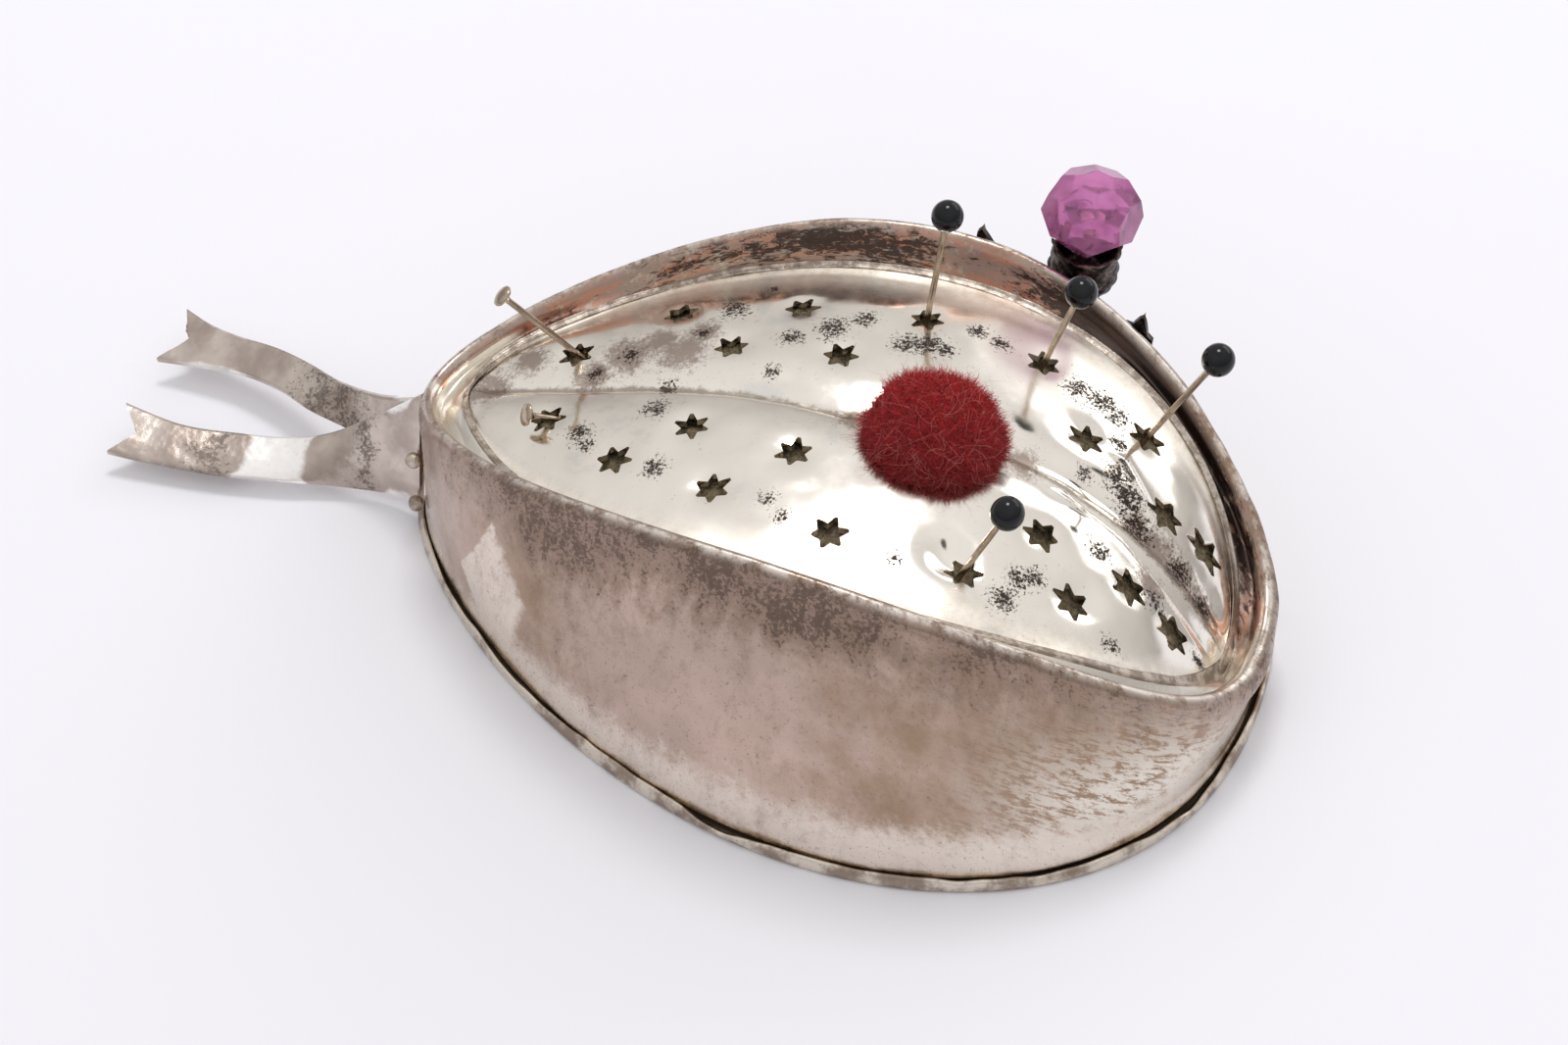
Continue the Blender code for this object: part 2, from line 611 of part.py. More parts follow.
# ---------------------------------------------------------------- the ribbons
def build_ribbon(name, lower, upper, across=4):
    """A bent strip of sheet whose end is cut to a swallow tail."""
    middle_rows = []
    last = len(lower) - 1
    for i in range(last + 1):
        low = Vector(lower[i])
        high = Vector(upper[i])
        row = [low.lerp(high, j / across) for j in range(across + 1)]
        if i == last:
            back_step = (Vector(lower[i - 1]) - low + Vector(upper[i - 1]) - high).normalized()
            for j, point in enumerate(row):
                row[j] = point + back_step * SWALLOW_NOTCH * (1.0 - abs(2.0 * j / across - 1.0))
        middle_rows.append(row)
    front = []
    back = []
    for i, row in enumerate(middle_rows):
        ahead = middle_rows[min(i + 1, last)]
        behind = middle_rows[max(i - 1, 0)]
        along = ahead[0] + ahead[-1] - behind[0] - behind[-1]
        normal = along.cross(row[-1] - row[0]).normalized()
        front.append([point + normal * RIBBON_SHEET / 2 for point in row])
        back.append([point - normal * RIBBON_SHEET / 2 for point in row])
    builder = bmesh.new()
    add_slab(builder, front, back)
    finish_object(name, builder, "bright_silver", 50.0)


def build_ribbon_solder():
    """Two blobs of solder where the ribbons meet the cap."""
    shape = ((0.0, -1.0), (0.75, -0.7), (1.0, 0.0), (0.75, 0.7), (0.0, 1.0))
    profile = [(radius * SOLDER_RADIUS, height * SOLDER_RADIUS) for radius, height in shape]
    for name, centre in SOLDER_BLOBS.items():
        place(turned_object(name, profile, 8, "solder", 70.0), centre, (0.0, 0.0, 1.0))


def main():
    for existing in list(bpy.data.objects):
        bpy.data.objects.remove(existing)
    build_base_plate()
    build_side_wall()
    build_crown()
    build_crown_solder()
    build_toorie()
    pins = build_pins()
    build_stuffing(pins)
    build_thistle()
    for name, (lower, upper) in RIBBONS.items():
        build_ribbon(name, lower, upper)
    build_ribbon_solder()


main()
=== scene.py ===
"""The looks of a silver-plated pincushion in the shape of a Glengarry cap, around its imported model.

Lengths are in millimetres unless a name says otherwise, and MM turns them into metres. The frame is
the model's own: the origin under the middle of the base plate, +X to the cap's front, +Y to the cap's
left, +Z up.
"""

import json
import math

import bmesh
import bpy
import numpy as np
from mathutils import Matrix, Vector


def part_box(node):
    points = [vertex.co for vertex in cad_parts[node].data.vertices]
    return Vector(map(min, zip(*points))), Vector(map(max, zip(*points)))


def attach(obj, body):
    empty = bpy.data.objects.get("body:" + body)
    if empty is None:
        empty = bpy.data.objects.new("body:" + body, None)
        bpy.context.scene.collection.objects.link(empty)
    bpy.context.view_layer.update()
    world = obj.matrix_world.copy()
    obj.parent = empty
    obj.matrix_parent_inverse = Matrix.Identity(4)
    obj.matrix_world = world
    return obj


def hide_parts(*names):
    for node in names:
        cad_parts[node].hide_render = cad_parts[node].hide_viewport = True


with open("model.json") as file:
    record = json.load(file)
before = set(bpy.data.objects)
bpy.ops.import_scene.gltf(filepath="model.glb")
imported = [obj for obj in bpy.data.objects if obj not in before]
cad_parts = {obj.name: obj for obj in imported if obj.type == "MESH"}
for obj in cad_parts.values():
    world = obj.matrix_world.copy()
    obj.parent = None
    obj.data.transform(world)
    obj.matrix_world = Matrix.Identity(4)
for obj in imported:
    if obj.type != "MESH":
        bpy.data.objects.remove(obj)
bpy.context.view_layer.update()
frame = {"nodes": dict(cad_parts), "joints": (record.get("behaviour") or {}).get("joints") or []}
MM = 0.001

# ---------------------------------------------------------------- the cap's driving dimensions
# Each oval is (centre x, half length, half width, power, change of power, widening, squareness).
BASE_OVAL = (0.0, 42.0, 30.3, 0.568, -0.105, 0.274, -0.009)
RIM_OVAL = (0.93, 40.62, 23.29, 0.460, -0.046, 0.151, -0.132)
CROWN_OVAL = (1.25, 37.25, 20.8, 0.581, -0.094, 0.097, 0.070)
SHEET = 0.7                # thickness of the cap's sheet metal
PLATE = 0.8                # thickness of the base plate
WALL_LOW = 1.15            # height of the wall's foot
WALL_FOOT_INSET = 0.95     # from the base plate's edge to the foot of the wall
WALL_CURVE = 1.35          # how much the wall bulges on its way up
RIM_ROUND = 0.9            # the rim's roll stands this far outside its crest line
KITE_X = -27.2             # middle of the kite-shaped painted reflection on the right wall

STARS = (                  # x and y of every star hole, left lobe first
    (-26.6, 4.4), (-18.5, 10.7), (-11.7, 5.9), (-7.2, 12.7), (-1.3, 6.5), (4.5, 14.2),
    (16.0, 13.6), (22.1, 7.0), (26.7, 11.6), (30.5, 4.9), (34.3, 5.5),
    (-25.9, -4.8), (-17.3, -9.9), (-11.5, -5.3), (-7.0, -12.3), (-1.2, -6.8), (4.8, -14.6),
    (17.0, -13.7), (21.9, -6.4), (26.2, -10.9), (30.0, -5.5), (34.3, -5.4),
)
STAR_TIP = 1.68
STAR_NOTCH = 1.02
STAR_BLUNT = 0.085         # half the angle that a tip's blunt end takes up, in radians
EDGE_FALL = 2.4            # from the lobes down to the crown's edge
EDGE_LIFT = 0.55           # the crown turns up this much where it meets the flange

# The crease's two stretches, behind and in front of the toorie, as x and y.
CREASE_BACK = ((-35, 0), (-22, 0), (-8, 0.2), (1, -0.5), (5, 0))
CREASE_FRONT = ((16, 0), (24, 0.2), (31, -0.3), (37, -0.8))

PIN_LENGTH = 26.0
PIN_RADIUS = 0.3
PIN_POINT = ((0.0, 0.0), (0.03, 0.12), (0.16, 1.2), (PIN_RADIUS, 3.2))    # radius, height from the tip

AROUND_CAP = 480           # points in each ring of the wall and of the solder
AROUND_BASE = 720          # points in each ring of the base plate
FIBRES = 9000              # loose fibres on the toorie
FIBRE_RINGS = 5            # rings of three points along each fibre
RIBBON_THICK = 0.80

# ---------------------------------------------------------------- camera and light
CAMERA_DISTANCE = 413.0    # from the frame's origin
CAMERA_ELEVATION = 47.0    # degrees above the table
CAMERA_AZIMUTH = 18.5      # degrees from -Y towards +X
CAMERA_AIM = (-6.0, 4.2, 5.5)
LENS = 100.0
SENSOR_WIDTH = 36.0
TABLE_SIZE = 6.0           # metres
# Colour of the room at each share of the way from below the table to overhead.
ROOM = ((0.0, (0.41, 0.39, 0.385)), (0.30, (0.61, 0.595, 0.585)), (0.85, (0.85, 0.84, 0.845)))
OVERHEAD_POWER = 1.7       # watts
BACK_POWER = 2.0


# ================================================================ shapes
def oval_points(oval, angles, inset=0.0):
    """Points of an oval that is blunt at the front and pointed at the back."""
    centre, half_length, half_width, power, power_change, widening, squareness = oval
    u = np.cos(angles)
    side = np.sin(angles)
    reach = np.abs(side) ** (2.0 * (power + power_change * u))
    y = (half_width - inset) * reach * (1.0 + widening * u + squareness * u * u)
    return centre + (half_length - inset) * u, y * np.sign(side)


def oval_half_width(oval, x, inset=0.0):
    u = np.clip((x - oval[0]) / (oval[1] - inset), -1.0, 1.0)
    return np.abs(oval_points(oval, np.arccos(u), inset)[1])


def rim_height(u):
    arch = 1.0 - u * u
    return 13.4 - 3.85 * u + 16.07 * arch + 4.34 * u * arch


def crown_share(x, y):
    """0 on the crown's middle line, 1 at its edge."""
    return np.abs(y) / np.maximum(oval_half_width(CROWN_OVAL, x), 0.5)


def crown_height(x, y):
    """Top of the crown: a long arch with a shallow crease between two lobes."""
    u = np.clip((x - CROWN_OVAL[0]) / CROWN_OVAL[1], -1.0, 1.0)
    arch = 1.0 - u * u
    crease = 10.9 - 4.9 * u + 6.8 * arch + (11.2 - 5.1 * arch) * u * arch + 8.8 * np.sqrt(arch)
    lobe = 0.8 * (1.0 - np.exp(-((y / 3.2) ** 2)))
    return crease + lobe - EDGE_FALL * np.sqrt(arch) * np.minimum(1.0, crown_share(x, y)) ** 2.6


def wander(points, size, seed):
    """Smooth noise from -1 to 1 whose features are about size wide."""
    side = 32
    lattice = np.random.default_rng(seed).uniform(-1.0, 1.0, (side, side, side))
    place = np.asarray(points) / size + 100.0
    cell = np.floor(place).astype(int)
    part = place - cell
    part = part * part * (3.0 - 2.0 * part)
    total = 0.0
    for dx in (0, 1):
        for dy in (0, 1):
            for dz in (0, 1):
                corner = (cell + (dx, dy, dz)) % side
                weight = np.abs(1 - dx - part[..., 0]) * np.abs(1 - dy - part[..., 1])
                weight = weight * np.abs(1 - dz - part[..., 2])
                total = total + weight * lattice[corner[..., 0], corner[..., 1], corner[..., 2]]
    return total


def curve_through(keys, steps, closed):
    """Catmull-Rom curves through rows of key points; keys is (rows, points, 3)."""
    count = len(keys)
    rows = []
    for i in range(count if closed else count - 1):
        if closed:
            a, b, c, d = (keys[(i + k) % count] for k in (-1, 0, 1, 2))
        else:
            a, b, c, d = (keys[min(max(i + k, 0), count - 1)] for k in (-1, 0, 1, 2))
        for step in range(steps):
            t = step / steps
            rows.append(0.5 * (2.0 * b + (c - a) * t + (2.0 * a - 5.0 * b + 4.0 * c - d) * t * t
                               + (3.0 * b - a - 3.0 * c + d) * t ** 3))
    if not closed:
        rows.append(keys[-1])
    return np.array(rows)


def grid_faces(rows, columns, wrap_rows=False, wrap_columns=False, start=0):
    """Quads of a grid of points that are numbered row by row."""
    i = np.arange(rows if wrap_rows else rows - 1)
    j = np.arange(columns if wrap_columns else columns - 1)
    i, j = (grid.ravel() for grid in np.meshgrid(i, j, indexing="ij"))
    below = (i + 1) % rows
    right = (j + 1) % columns
    corners = (i * columns + j, i * columns + right, below * columns + right, below * columns + j)
    return (np.stack(corners, 1) + start).tolist()


def make_piece(name, points, faces, material, sharp_angle=None):
    """A smooth-shaded object from points in millimetres, its faces turned outwards."""
    mesh = bpy.data.meshes.new(name)
    mesh.from_pydata((np.asarray(points, float).reshape(-1, 3) * MM).tolist(), [], faces)
    builder = bmesh.new()
    builder.from_mesh(mesh)
    bmesh.ops.recalc_face_normals(builder, faces=builder.faces)
    builder.to_mesh(mesh)
    builder.free()
    mesh.shade_smooth()
    if sharp_angle is not None:
        mesh.set_sharp_from_angle(angle=math.radians(sharp_angle))
    mesh.materials.append(material)
    piece = bpy.data.objects.new(name, mesh)
    bpy.context.scene.collection.objects.link(piece)
    return piece


def make_slab(name, front, back, material, sharp_angle=None):
    """A closed sheet between two grids of points of the same size."""
    rows, columns = front.shape[:2]
    count = rows * columns
    faces = grid_faces(rows, columns)
    faces += [quad[::-1] for quad in grid_faces(rows, columns, start=count)]
    border = [j for j in range(columns)]
    border += [i * columns + columns - 1 for i in range(1, rows)]
    border += [(rows - 1) * columns + j for j in range(columns - 2, -1, -1)]
    border += [i * columns for i in range(rows - 2, 0, -1)]
    for a, b in zip(border, border[1:] + border[:1]):
        faces.append([a, a + count, b + count, b])
    points = np.concatenate([front.reshape(-1, 3), back.reshape(-1, 3)])
    return make_piece(name, points, faces, material, sharp_angle)


def make_turned(name, profile, sides, material, centre, direction, sharp_angle=40.0, shape=None):
    """Turns (radius, height) points about direction through centre; shape may vary the radius."""
    profile = np.array(profile, float)
    angles = np.linspace(0.0, math.tau, sides, endpoint=False)
    radius = profile[1:-1, 0][:, None] * np.ones(sides)
    height = profile[1:-1, 1][:, None] * np.ones(sides)
    if shape is not None:
        radius = radius * shape(angles[None, :], height)
    rings = np.stack([radius * np.cos(angles), radius * np.sin(angles), height], -1)
    points = np.concatenate([rings.reshape(-1, 3), [[0, 0, profile[0, 1]], [0, 0, profile[-1, 1]]]])
    rows = len(rings)
    faces = grid_faces(rows, sides, wrap_columns=True)
    low = rows * sides
    for j in range(sides):
        after = (j + 1) % sides
        faces.append([low, after, j])
        faces.append([low + 1, (rows - 1) * sides + j, (rows - 1) * sides + after])
    turn = Vector((0, 0, 1)).rotation_difference(Vector(direction).normalized()).to_matrix()
    points = points @ np.array(turn).T + np.array(centre)
    return make_piece(name, points, faces, material, sharp_angle)


def ball_profile(radius, steps):
    """Profile of a ball for make_turned, from its lowest point to its highest."""
    angles = [math.radians(-90.0 + 180.0 * step / steps) for step in range(1, steps)]
    middle = [(radius * math.cos(angle), radius * math.sin(angle)) for angle in angles]
    return [(0.0, -radius)] + middle + [(0.0, radius)]


def store(piece, name, values, kind="FLOAT", slot="value"):
    """Keeps a number or a vector for every point of the mesh, for the material to read."""
    attribute = piece.data.attributes.new(name, kind, "POINT")
    attribute.data.foreach_set(slot, np.asarray(values, np.float32).ravel())


def paint(piece, name, rule):
    """Stores rule(points in millimetres), kept between 0 and 1."""
    mesh = piece.data
    points = np.zeros(len(mesh.vertices) * 3, np.float32)
    mesh.vertices.foreach_get("co", points)
    store(piece, name, np.clip(rule(points.reshape(-1, 3) / MM), 0.0, 1.0))


def patches(points, spots):
    """1 in the middle of each (x, y, radius) spot, fading to 0 at its edge."""
    total = np.zeros(len(points))
    for x, y, radius in spots:
        square = ((points[:, 0] - x) ** 2 + (points[:, 1] - y) ** 2) / radius ** 2
        total = np.maximum(total, np.exp(-square * 1.5))
    return total


def near_path(x, y, path, width):
    """1 on a line drawn through the path's (x, y) points, falling off sharply to both sides."""
    path = np.array(path)
    beyond = np.maximum(path[0, 0] - x, 0.0) + np.maximum(x - path[-1, 0], 0.0)
    away = np.abs(y - np.interp(x, path[:, 0], path[:, 1]))
    return np.exp(-away / width - (beyond / 1.2) ** 2)


def apply_modifiers(piece):
    """Keeps the mesh as the modifiers make it, and removes them."""
    graph = bpy.context.evaluated_depsgraph_get()
    mesh = bpy.data.meshes.new_from_object(piece.evaluated_get(graph))
    old = piece.data
    piece.modifiers.clear()
    piece.data = mesh
    bpy.data.meshes.remove(old)


# ================================================================ materials
class Look:
    """One node material. Its methods add nodes and return the socket to use next."""

    def __init__(self, name, **fixed):
        self.material = bpy.data.materials.new(name)
        self.material.use_nodes = True
        self.tree = self.material.node_tree
        self.shader = self.tree.nodes["Principled BSDF"]
        self.place = self.tree.nodes.new("ShaderNodeTexCoord").outputs["Object"]
        for socket, value in fixed.items():
            self.shader.inputs[socket.replace("_", " ")].default_value = value

    def connect(self, socket, value):
        if isinstance(value, bpy.types.NodeSocket):
            self.tree.links.new(value, socket)
        elif isinstance(value, tuple) and socket.type == "RGBA":
            socket.default_value = (*value, 1.0)
        else:
            socket.default_value = value

    def noise(self, size, detail=3.0, roughness=0.55, stretch=(1, 1, 1), distortion=0.0):
        """Noise whose features are about size millimetres wide."""
        mapping = self.tree.nodes.new("ShaderNodeMapping")
        mapping.inputs["Scale"].default_value = [1.0 / (size * MM * s) for s in stretch]
        self.connect(mapping.inputs["Vector"], self.place)
        node = self.tree.nodes.new("ShaderNodeTexNoise")
        self.connect(node.inputs["Vector"], mapping.outputs[0])
        node.inputs["Scale"].default_value = 1.0
        node.inputs["Detail"].default_value = detail
        node.inputs["Roughness"].default_value = roughness
        node.inputs["Distortion"].default_value = distortion
        return node.outputs["Fac"]

    def painted(self, name):
        node = self.tree.nodes.new("ShaderNodeAttribute")
        node.attribute_name = name
        return node.outputs["Fac"]

    def follow(self, name):
        """Lays the noises that come after along a painted vector instead of the object's axes."""
        node = self.tree.nodes.new("ShaderNodeAttribute")
        node.attribute_name = name
        self.place = node.outputs["Vector"]

    def step(self, value, low, high):
        """0 below low, 1 above high, smooth between."""
        node = self.tree.nodes.new("ShaderNodeMapRange")
        node.interpolation_type = "SMOOTHSTEP"
        self.connect(node.inputs["Value"], value)
        node.inputs["From Min"].default_value = low
        node.inputs["From Max"].default_value = high
        return node.outputs["Result"]

    def maths(self, operation, a, b):
        node = self.tree.nodes.new("ShaderNodeMath")
        node.operation = operation
        self.connect(node.inputs[0], a)
        self.connect(node.inputs[1], b)
        return node.outputs[0]

    def times(self, a, b):
        return self.maths("MULTIPLY", a, b)

    def plus(self, a, b):
        return self.maths("ADD", a, b)

    def minus(self, a, b):
        return self.maths("SUBTRACT", a, b)

    def sway(self, value, amount):
        """Noise turned to swing about 0 by up to half of amount."""
        return self.times(self.minus(value, 0.5), amount)

    def mix(self, factor, a, b):
        """Colour a where factor is 0, b where it is 1."""
        node = self.tree.nodes.new("ShaderNodeMix")
        node.data_type = "RGBA"
        self.connect(node.inputs["Factor"], factor)
        self.connect(node.inputs[6], a)
        self.connect(node.inputs[7], b)
        return node.outputs[2]

    def cover(self, colour, tint, mask, low, high, share=1.0):
        """Lays tint over colour where the mask rises from low to high, up to share of it."""
        factor = self.step(mask, low, high)
        return self.mix(factor if share == 1.0 else self.times(factor, share), colour, tint)

    def between(self, factor, a, b):
        """Number a where factor is 0, b where it is 1."""
        node = self.tree.nodes.new("ShaderNodeMix")
        node.data_type = "FLOAT"
        self.connect(node.inputs["Factor"], factor)
        self.connect(node.inputs[2], a)
        self.connect(node.inputs[3], b)
        return node.outputs[0]

    def bump(self, height, depth, under=None):
        """Adds relief of depth millimetres on top of the relief under it."""
        node = self.tree.nodes.new("ShaderNodeBump")
        node.inputs["Strength"].default_value = 1.0
        node.inputs["Distance"].default_value = depth * MM
        self.connect(node.inputs["Height"], height)
        if under is not None:
            self.connect(node.inputs["Normal"], under)
        return node.outputs["Normal"]

    def finish(self, colour, roughness, normal=None):
        self.connect(self.shader.inputs["Base Color"], colour)
        self.connect(self.shader.inputs["Roughness"], roughness)
        if normal is not None:
            self.connect(self.shader.inputs["Normal"], normal)
        return self.material


def wall_look():
    """Satin silver plate under brown and pink tarnish, with painted shade below the rim and painted
    highlights low down; copper and black inside.
    """
    look = Look("wall_metal", Metallic=1.0)
    look.follow("flow")
    broad = look.noise(13.0, 3.0, 0.6)
    blotch = look.noise(4.0, 5.0, 0.65)
    ragged = look.noise(1.5, 6.0, 0.75)
    grain = look.noise(0.4, 4.0, 0.75)
    fine = look.noise(0.16, 2.0, 0.7)
    scratch = look.noise(0.5, 5.0, 0.7, (4.0, 4.0, 0.8), 0.5)
    dirt_and_rim_shade = look.painted("dirt_and_rim_shade")
    pale_and_highlight = look.painted("pale_and_highlight")
    olive = look.painted("olive")
    colour = look.cover((0.49, 0.375, 0.315), (0.60, 0.455, 0.385), broad, 0.34, 0.68)
    tint = look.step(look.plus(look.times(olive, 0.7), look.minus(blotch, 0.5)), 0.05, 0.80)
    colour = look.mix(tint, colour, (0.375, 0.260, 0.180))
    # Pale zones: bare silver, painted highlights low on the wall and a kite-shaped painted reflection.
    pale = look.step(look.plus(pale_and_highlight, look.sway(ragged, 1.1)), 0.30, 0.78)
    colour = look.mix(look.times(pale, 0.9), colour, (0.84, 0.75, 0.66))
    # Stains of every size, thickest in the band under the rim, which also holds painted shade under the
    # rim's roll.
    drip = look.noise(2.8, 5.0, 0.7, (1.0, 1.0, 2.2), 0.6)
    stain_and_rim_shade = look.plus(look.times(dirt_and_rim_shade, 0.55), look.sway(ragged, 0.8))
    stain_and_rim_shade = look.step(look.plus(stain_and_rim_shade, look.times(look.minus(drip, 0.45), 1.1)), 0.02, 0.62)
    colour = look.mix(look.times(stain_and_rim_shade, 0.72), colour, (0.24, 0.16, 0.115))
    soot_and_rim_shade = look.plus(look.times(dirt_and_rim_shade, 0.40), look.sway(grain, 1.6))
    soot_and_rim_shade = look.step(look.plus(soot_and_rim_shade, look.sway(drip, 1.4)), 0.36, 0.60)
    colour = look.mix(look.times(soot_and_rim_shade, 0.62), colour, (0.085, 0.06, 0.05))
    pores = look.plus(look.times(grain, 0.8), look.plus(look.times(fine, 0.35), look.times(dirt_and_rim_shade, 0.05)))
    colour = look.cover(colour, (0.20, 0.145, 0.115), pores, 0.655, 0.71, 0.5)
    # Rubbed streaks near the front, and the rim's crest, lighter with wear and a painted highlight.
    streak = look.step(look.plus(scratch, look.sway(ragged, 0.7)), 0.40, 0.56)
    rubbed = look.times(look.painted("rubbed"), streak)
    colour = look.mix(look.times(rubbed, 0.85), colour, (0.80, 0.745, 0.66))
    crest_wear_and_highlight = look.step(look.plus(ragged, look.times(blotch, 0.7)), 0.74, 0.96)
    colour = look.mix(look.times(look.painted("crest_wear_and_highlight"), crest_wear_and_highlight), colour, (0.80, 0.73, 0.66))
    # The recess inside the rim: bare copper, black sulphide and scraps of silver, in bands; lighter at both
    # ends and along its foot with bare silver and painted highlights.
    band = look.noise(2.4, 5.0, 0.72, (2.8, 2.8, 0.45), 0.4)
    crumbs = look.noise(0.8, 6.0, 0.8, (1.9, 1.9, 0.6), 0.6)
    recess = look.cover((0.44, 0.345, 0.30), (0.58, 0.31, 0.225), band, 0.42, 0.58)
    recess = look.cover(recess, (0.58, 0.50, 0.43), ragged, 0.54, 0.62)
    black = look.plus(look.sway(crumbs, 1.3), look.minus(look.painted("sooty"), 0.5))
    recess = look.cover(recess, (0.055, 0.042, 0.038), black, 0.02, 0.12, 0.92)
    bare_and_highlight = look.step(look.plus(look.painted("bare_and_highlight"), look.sway(ragged, 0.8)), 0.3, 0.7)
    recess = look.mix(bare_and_highlight, recess, (0.84, 0.79, 0.71))
    inside = look.painted("inside")
    colour = look.mix(inside, colour, recess)
    rough = look.between(look.step(blotch, 0.3, 0.7), 0.27, 0.38)
    rough = look.between(look.plus(soot_and_rim_shade, look.times(inside, 0.15)), rough, 0.55)
    polished = look.plus(look.times(pale, 0.5), look.times(bare_and_highlight, inside))
    rough = look.between(look.plus(rubbed, polished), rough, 0.22)
    relief = look.bump(broad, 0.25)
    relief = look.bump(look.plus(blotch, look.times(ragged, 0.3)), 0.05, relief)
    relief = look.bump(look.plus(scratch, look.times(grain, 0.7)), 0.007, relief)
    return look.finish(colour, rough, relief)


def crown_look():
    """Bright silver plate with crumbs of black, brown haze and faint blue-grey patches."""
    look = Look("crown_silver", Metallic=1.0)
    broad = look.noise(11.0, 3.0, 0.55)
    blotch = look.noise(3.0, 5.0, 0.65)
    ragged = look.noise(1.1, 6.0, 0.8)
    grain = look.noise(0.32, 4.0, 0.8)
    fine = look.noise(0.12, 2.0, 0.6)
    colour = look.cover((0.95, 0.895, 0.81), (0.89, 0.83, 0.745), broad, 0.35, 0.65)
    # Faint blue-grey patches where two noises overlap.
    blue_grey_patches = look.times(look.step(blotch, 0.46, 0.60), look.step(broad, 0.48, 0.60))
    colour = look.mix(look.times(blue_grey_patches, 0.4), colour, (0.66, 0.67, 0.67))
    edge = look.painted("edge")
    colour = look.mix(look.times(edge, look.step(ragged, 0.36, 0.66)), colour, (0.66, 0.57, 0.45))
    haze = look.plus(look.times(look.painted("haze"), 0.62), look.sway(ragged, 1.2))
    haze = look.step(look.plus(haze, look.sway(grain, 0.9)), 0.14, 0.5)
    colour = look.mix(look.times(haze, 0.88), colour, (0.32, 0.245, 0.205))
    cluster = look.painted("tarnish")
    crumb = look.plus(look.times(cluster, 0.36), look.sway(grain, 1.25))
    crumb = look.plus(crumb, look.sway(ragged, 0.45))
    specks = look.step(crumb, 0.255, 0.30)
    colour = look.mix(look.times(specks, 0.97), colour, (0.040, 0.025, 0.019))
    seam = look.step(look.plus(look.times(look.painted("seam"), 0.7), look.minus(ragged, 0.5)), 0.22, 0.55)
    colour = look.mix(look.times(seam, 0.62), colour, (0.16, 0.115, 0.08))
    rough = look.between(look.step(blotch, 0.35, 0.7), 0.10, 0.18)
    rough = look.between(haze, rough, 0.36)
    rough = look.between(look.painted("dull"), rough, 0.48)
    rough = look.between(look.plus(specks, seam), rough, 0.6)
    relief = look.bump(broad, 0.16)
    relief = look.bump(fine, 0.0012, relief)
    return look.finish(colour, rough, relief)


def plate_look():
    """The base plate's edge: rubbed bright on its crest, dark in the groove with dirt and painted shade."""
    look = Look("plate_metal", Metallic=1.0)
    blotch = look.noise(3.5, 4.0, 0.65)
    grain = look.noise(0.5, 4.0, 0.75)
    colour = look.cover((0.74, 0.67, 0.58), (0.34, 0.27, 0.22), blotch, 0.42, 0.60)
    # Dark groove next to the wall's foot: dirt and painted shade.
    groove_dirt_and_shade = look.step(look.plus(look.painted("groove_dirt_and_shade"), look.minus(blotch, 0.5)), 0.35, 0.75)
    colour = look.mix(groove_dirt_and_shade, colour, (0.13, 0.095, 0.07))
    colour = look.cover(colour, (0.14, 0.11, 0.085), grain, 0.60, 0.72, 0.45)
    rough = look.between(groove_dirt_and_shade, look.between(blotch, 0.2, 0.4), 0.6)
    relief = look.bump(look.plus(blotch, look.times(grain, 0.3)), 0.05)
    return look.finish(colour, rough, relief)


def ribbon_look():
    """Pale silver with grey-black smudges and painted shade, painted highlights on bends, root and worn
    edges, and a slightly hammered face.
    """
    look = Look("ribbon_silver", Metallic=1.0)
    broad = look.noise(5.0, 3.0, 0.55)
    blotch = look.noise(1.9, 5.0, 0.65)
    grain = look.noise(0.35, 4.0, 0.75)
    colour = look.cover((0.63, 0.55, 0.49), (0.44, 0.365, 0.32), broad, 0.35, 0.65)
    # Smudges, and painted shade where the near ribbon twists and where the ribbons cross.
    smudge_and_shade = look.plus(look.times(look.painted("smudge_and_shade"), 0.5), look.sway(blotch, 1.1))
    smudge_and_shade = look.step(look.plus(smudge_and_shade, look.sway(grain, 1.3)), 0.34, 0.60)
    colour = look.mix(look.times(smudge_and_shade, 0.75), colour, (0.12, 0.09, 0.075))
    # Painted highlights where the strip bends and at its root; the lighter edges are part wear, part
    # painted highlight.
    pale = look.step(look.plus(look.painted("bright"), look.sway(blotch, 0.7)), 0.4, 0.8)
    colour = look.mix(pale, colour, (0.98, 0.95, 0.92))
    colour = look.cover(colour, (0.26, 0.20, 0.165), grain, 0.60, 0.72, 0.35)
    rough = look.between(smudge_and_shade, look.between(broad, 0.18, 0.34), 0.5)
    relief = look.bump(broad, 0.40)
    relief = look.bump(look.plus(blotch, look.times(grain, 0.2)), 0.04, relief)
    return look.finish(colour, rough, relief)


def solder_look():
    look = Look("solder_metal", Metallic=1.0)
    blotch = look.noise(1.2, 4.0, 0.6)
    grain = look.noise(0.25, 3.0, 0.7)
    colour = look.cover((0.60, 0.53, 0.46), (0.32, 0.26, 0.215), blotch, 0.4, 0.6)
    colour = look.cover(colour, (0.08, 0.06, 0.05), grain, 0.58, 0.70, 0.6)
    relief = look.bump(look.plus(blotch, grain), 0.06)
    return look.finish(colour, look.between(blotch, 0.22, 0.5), relief)


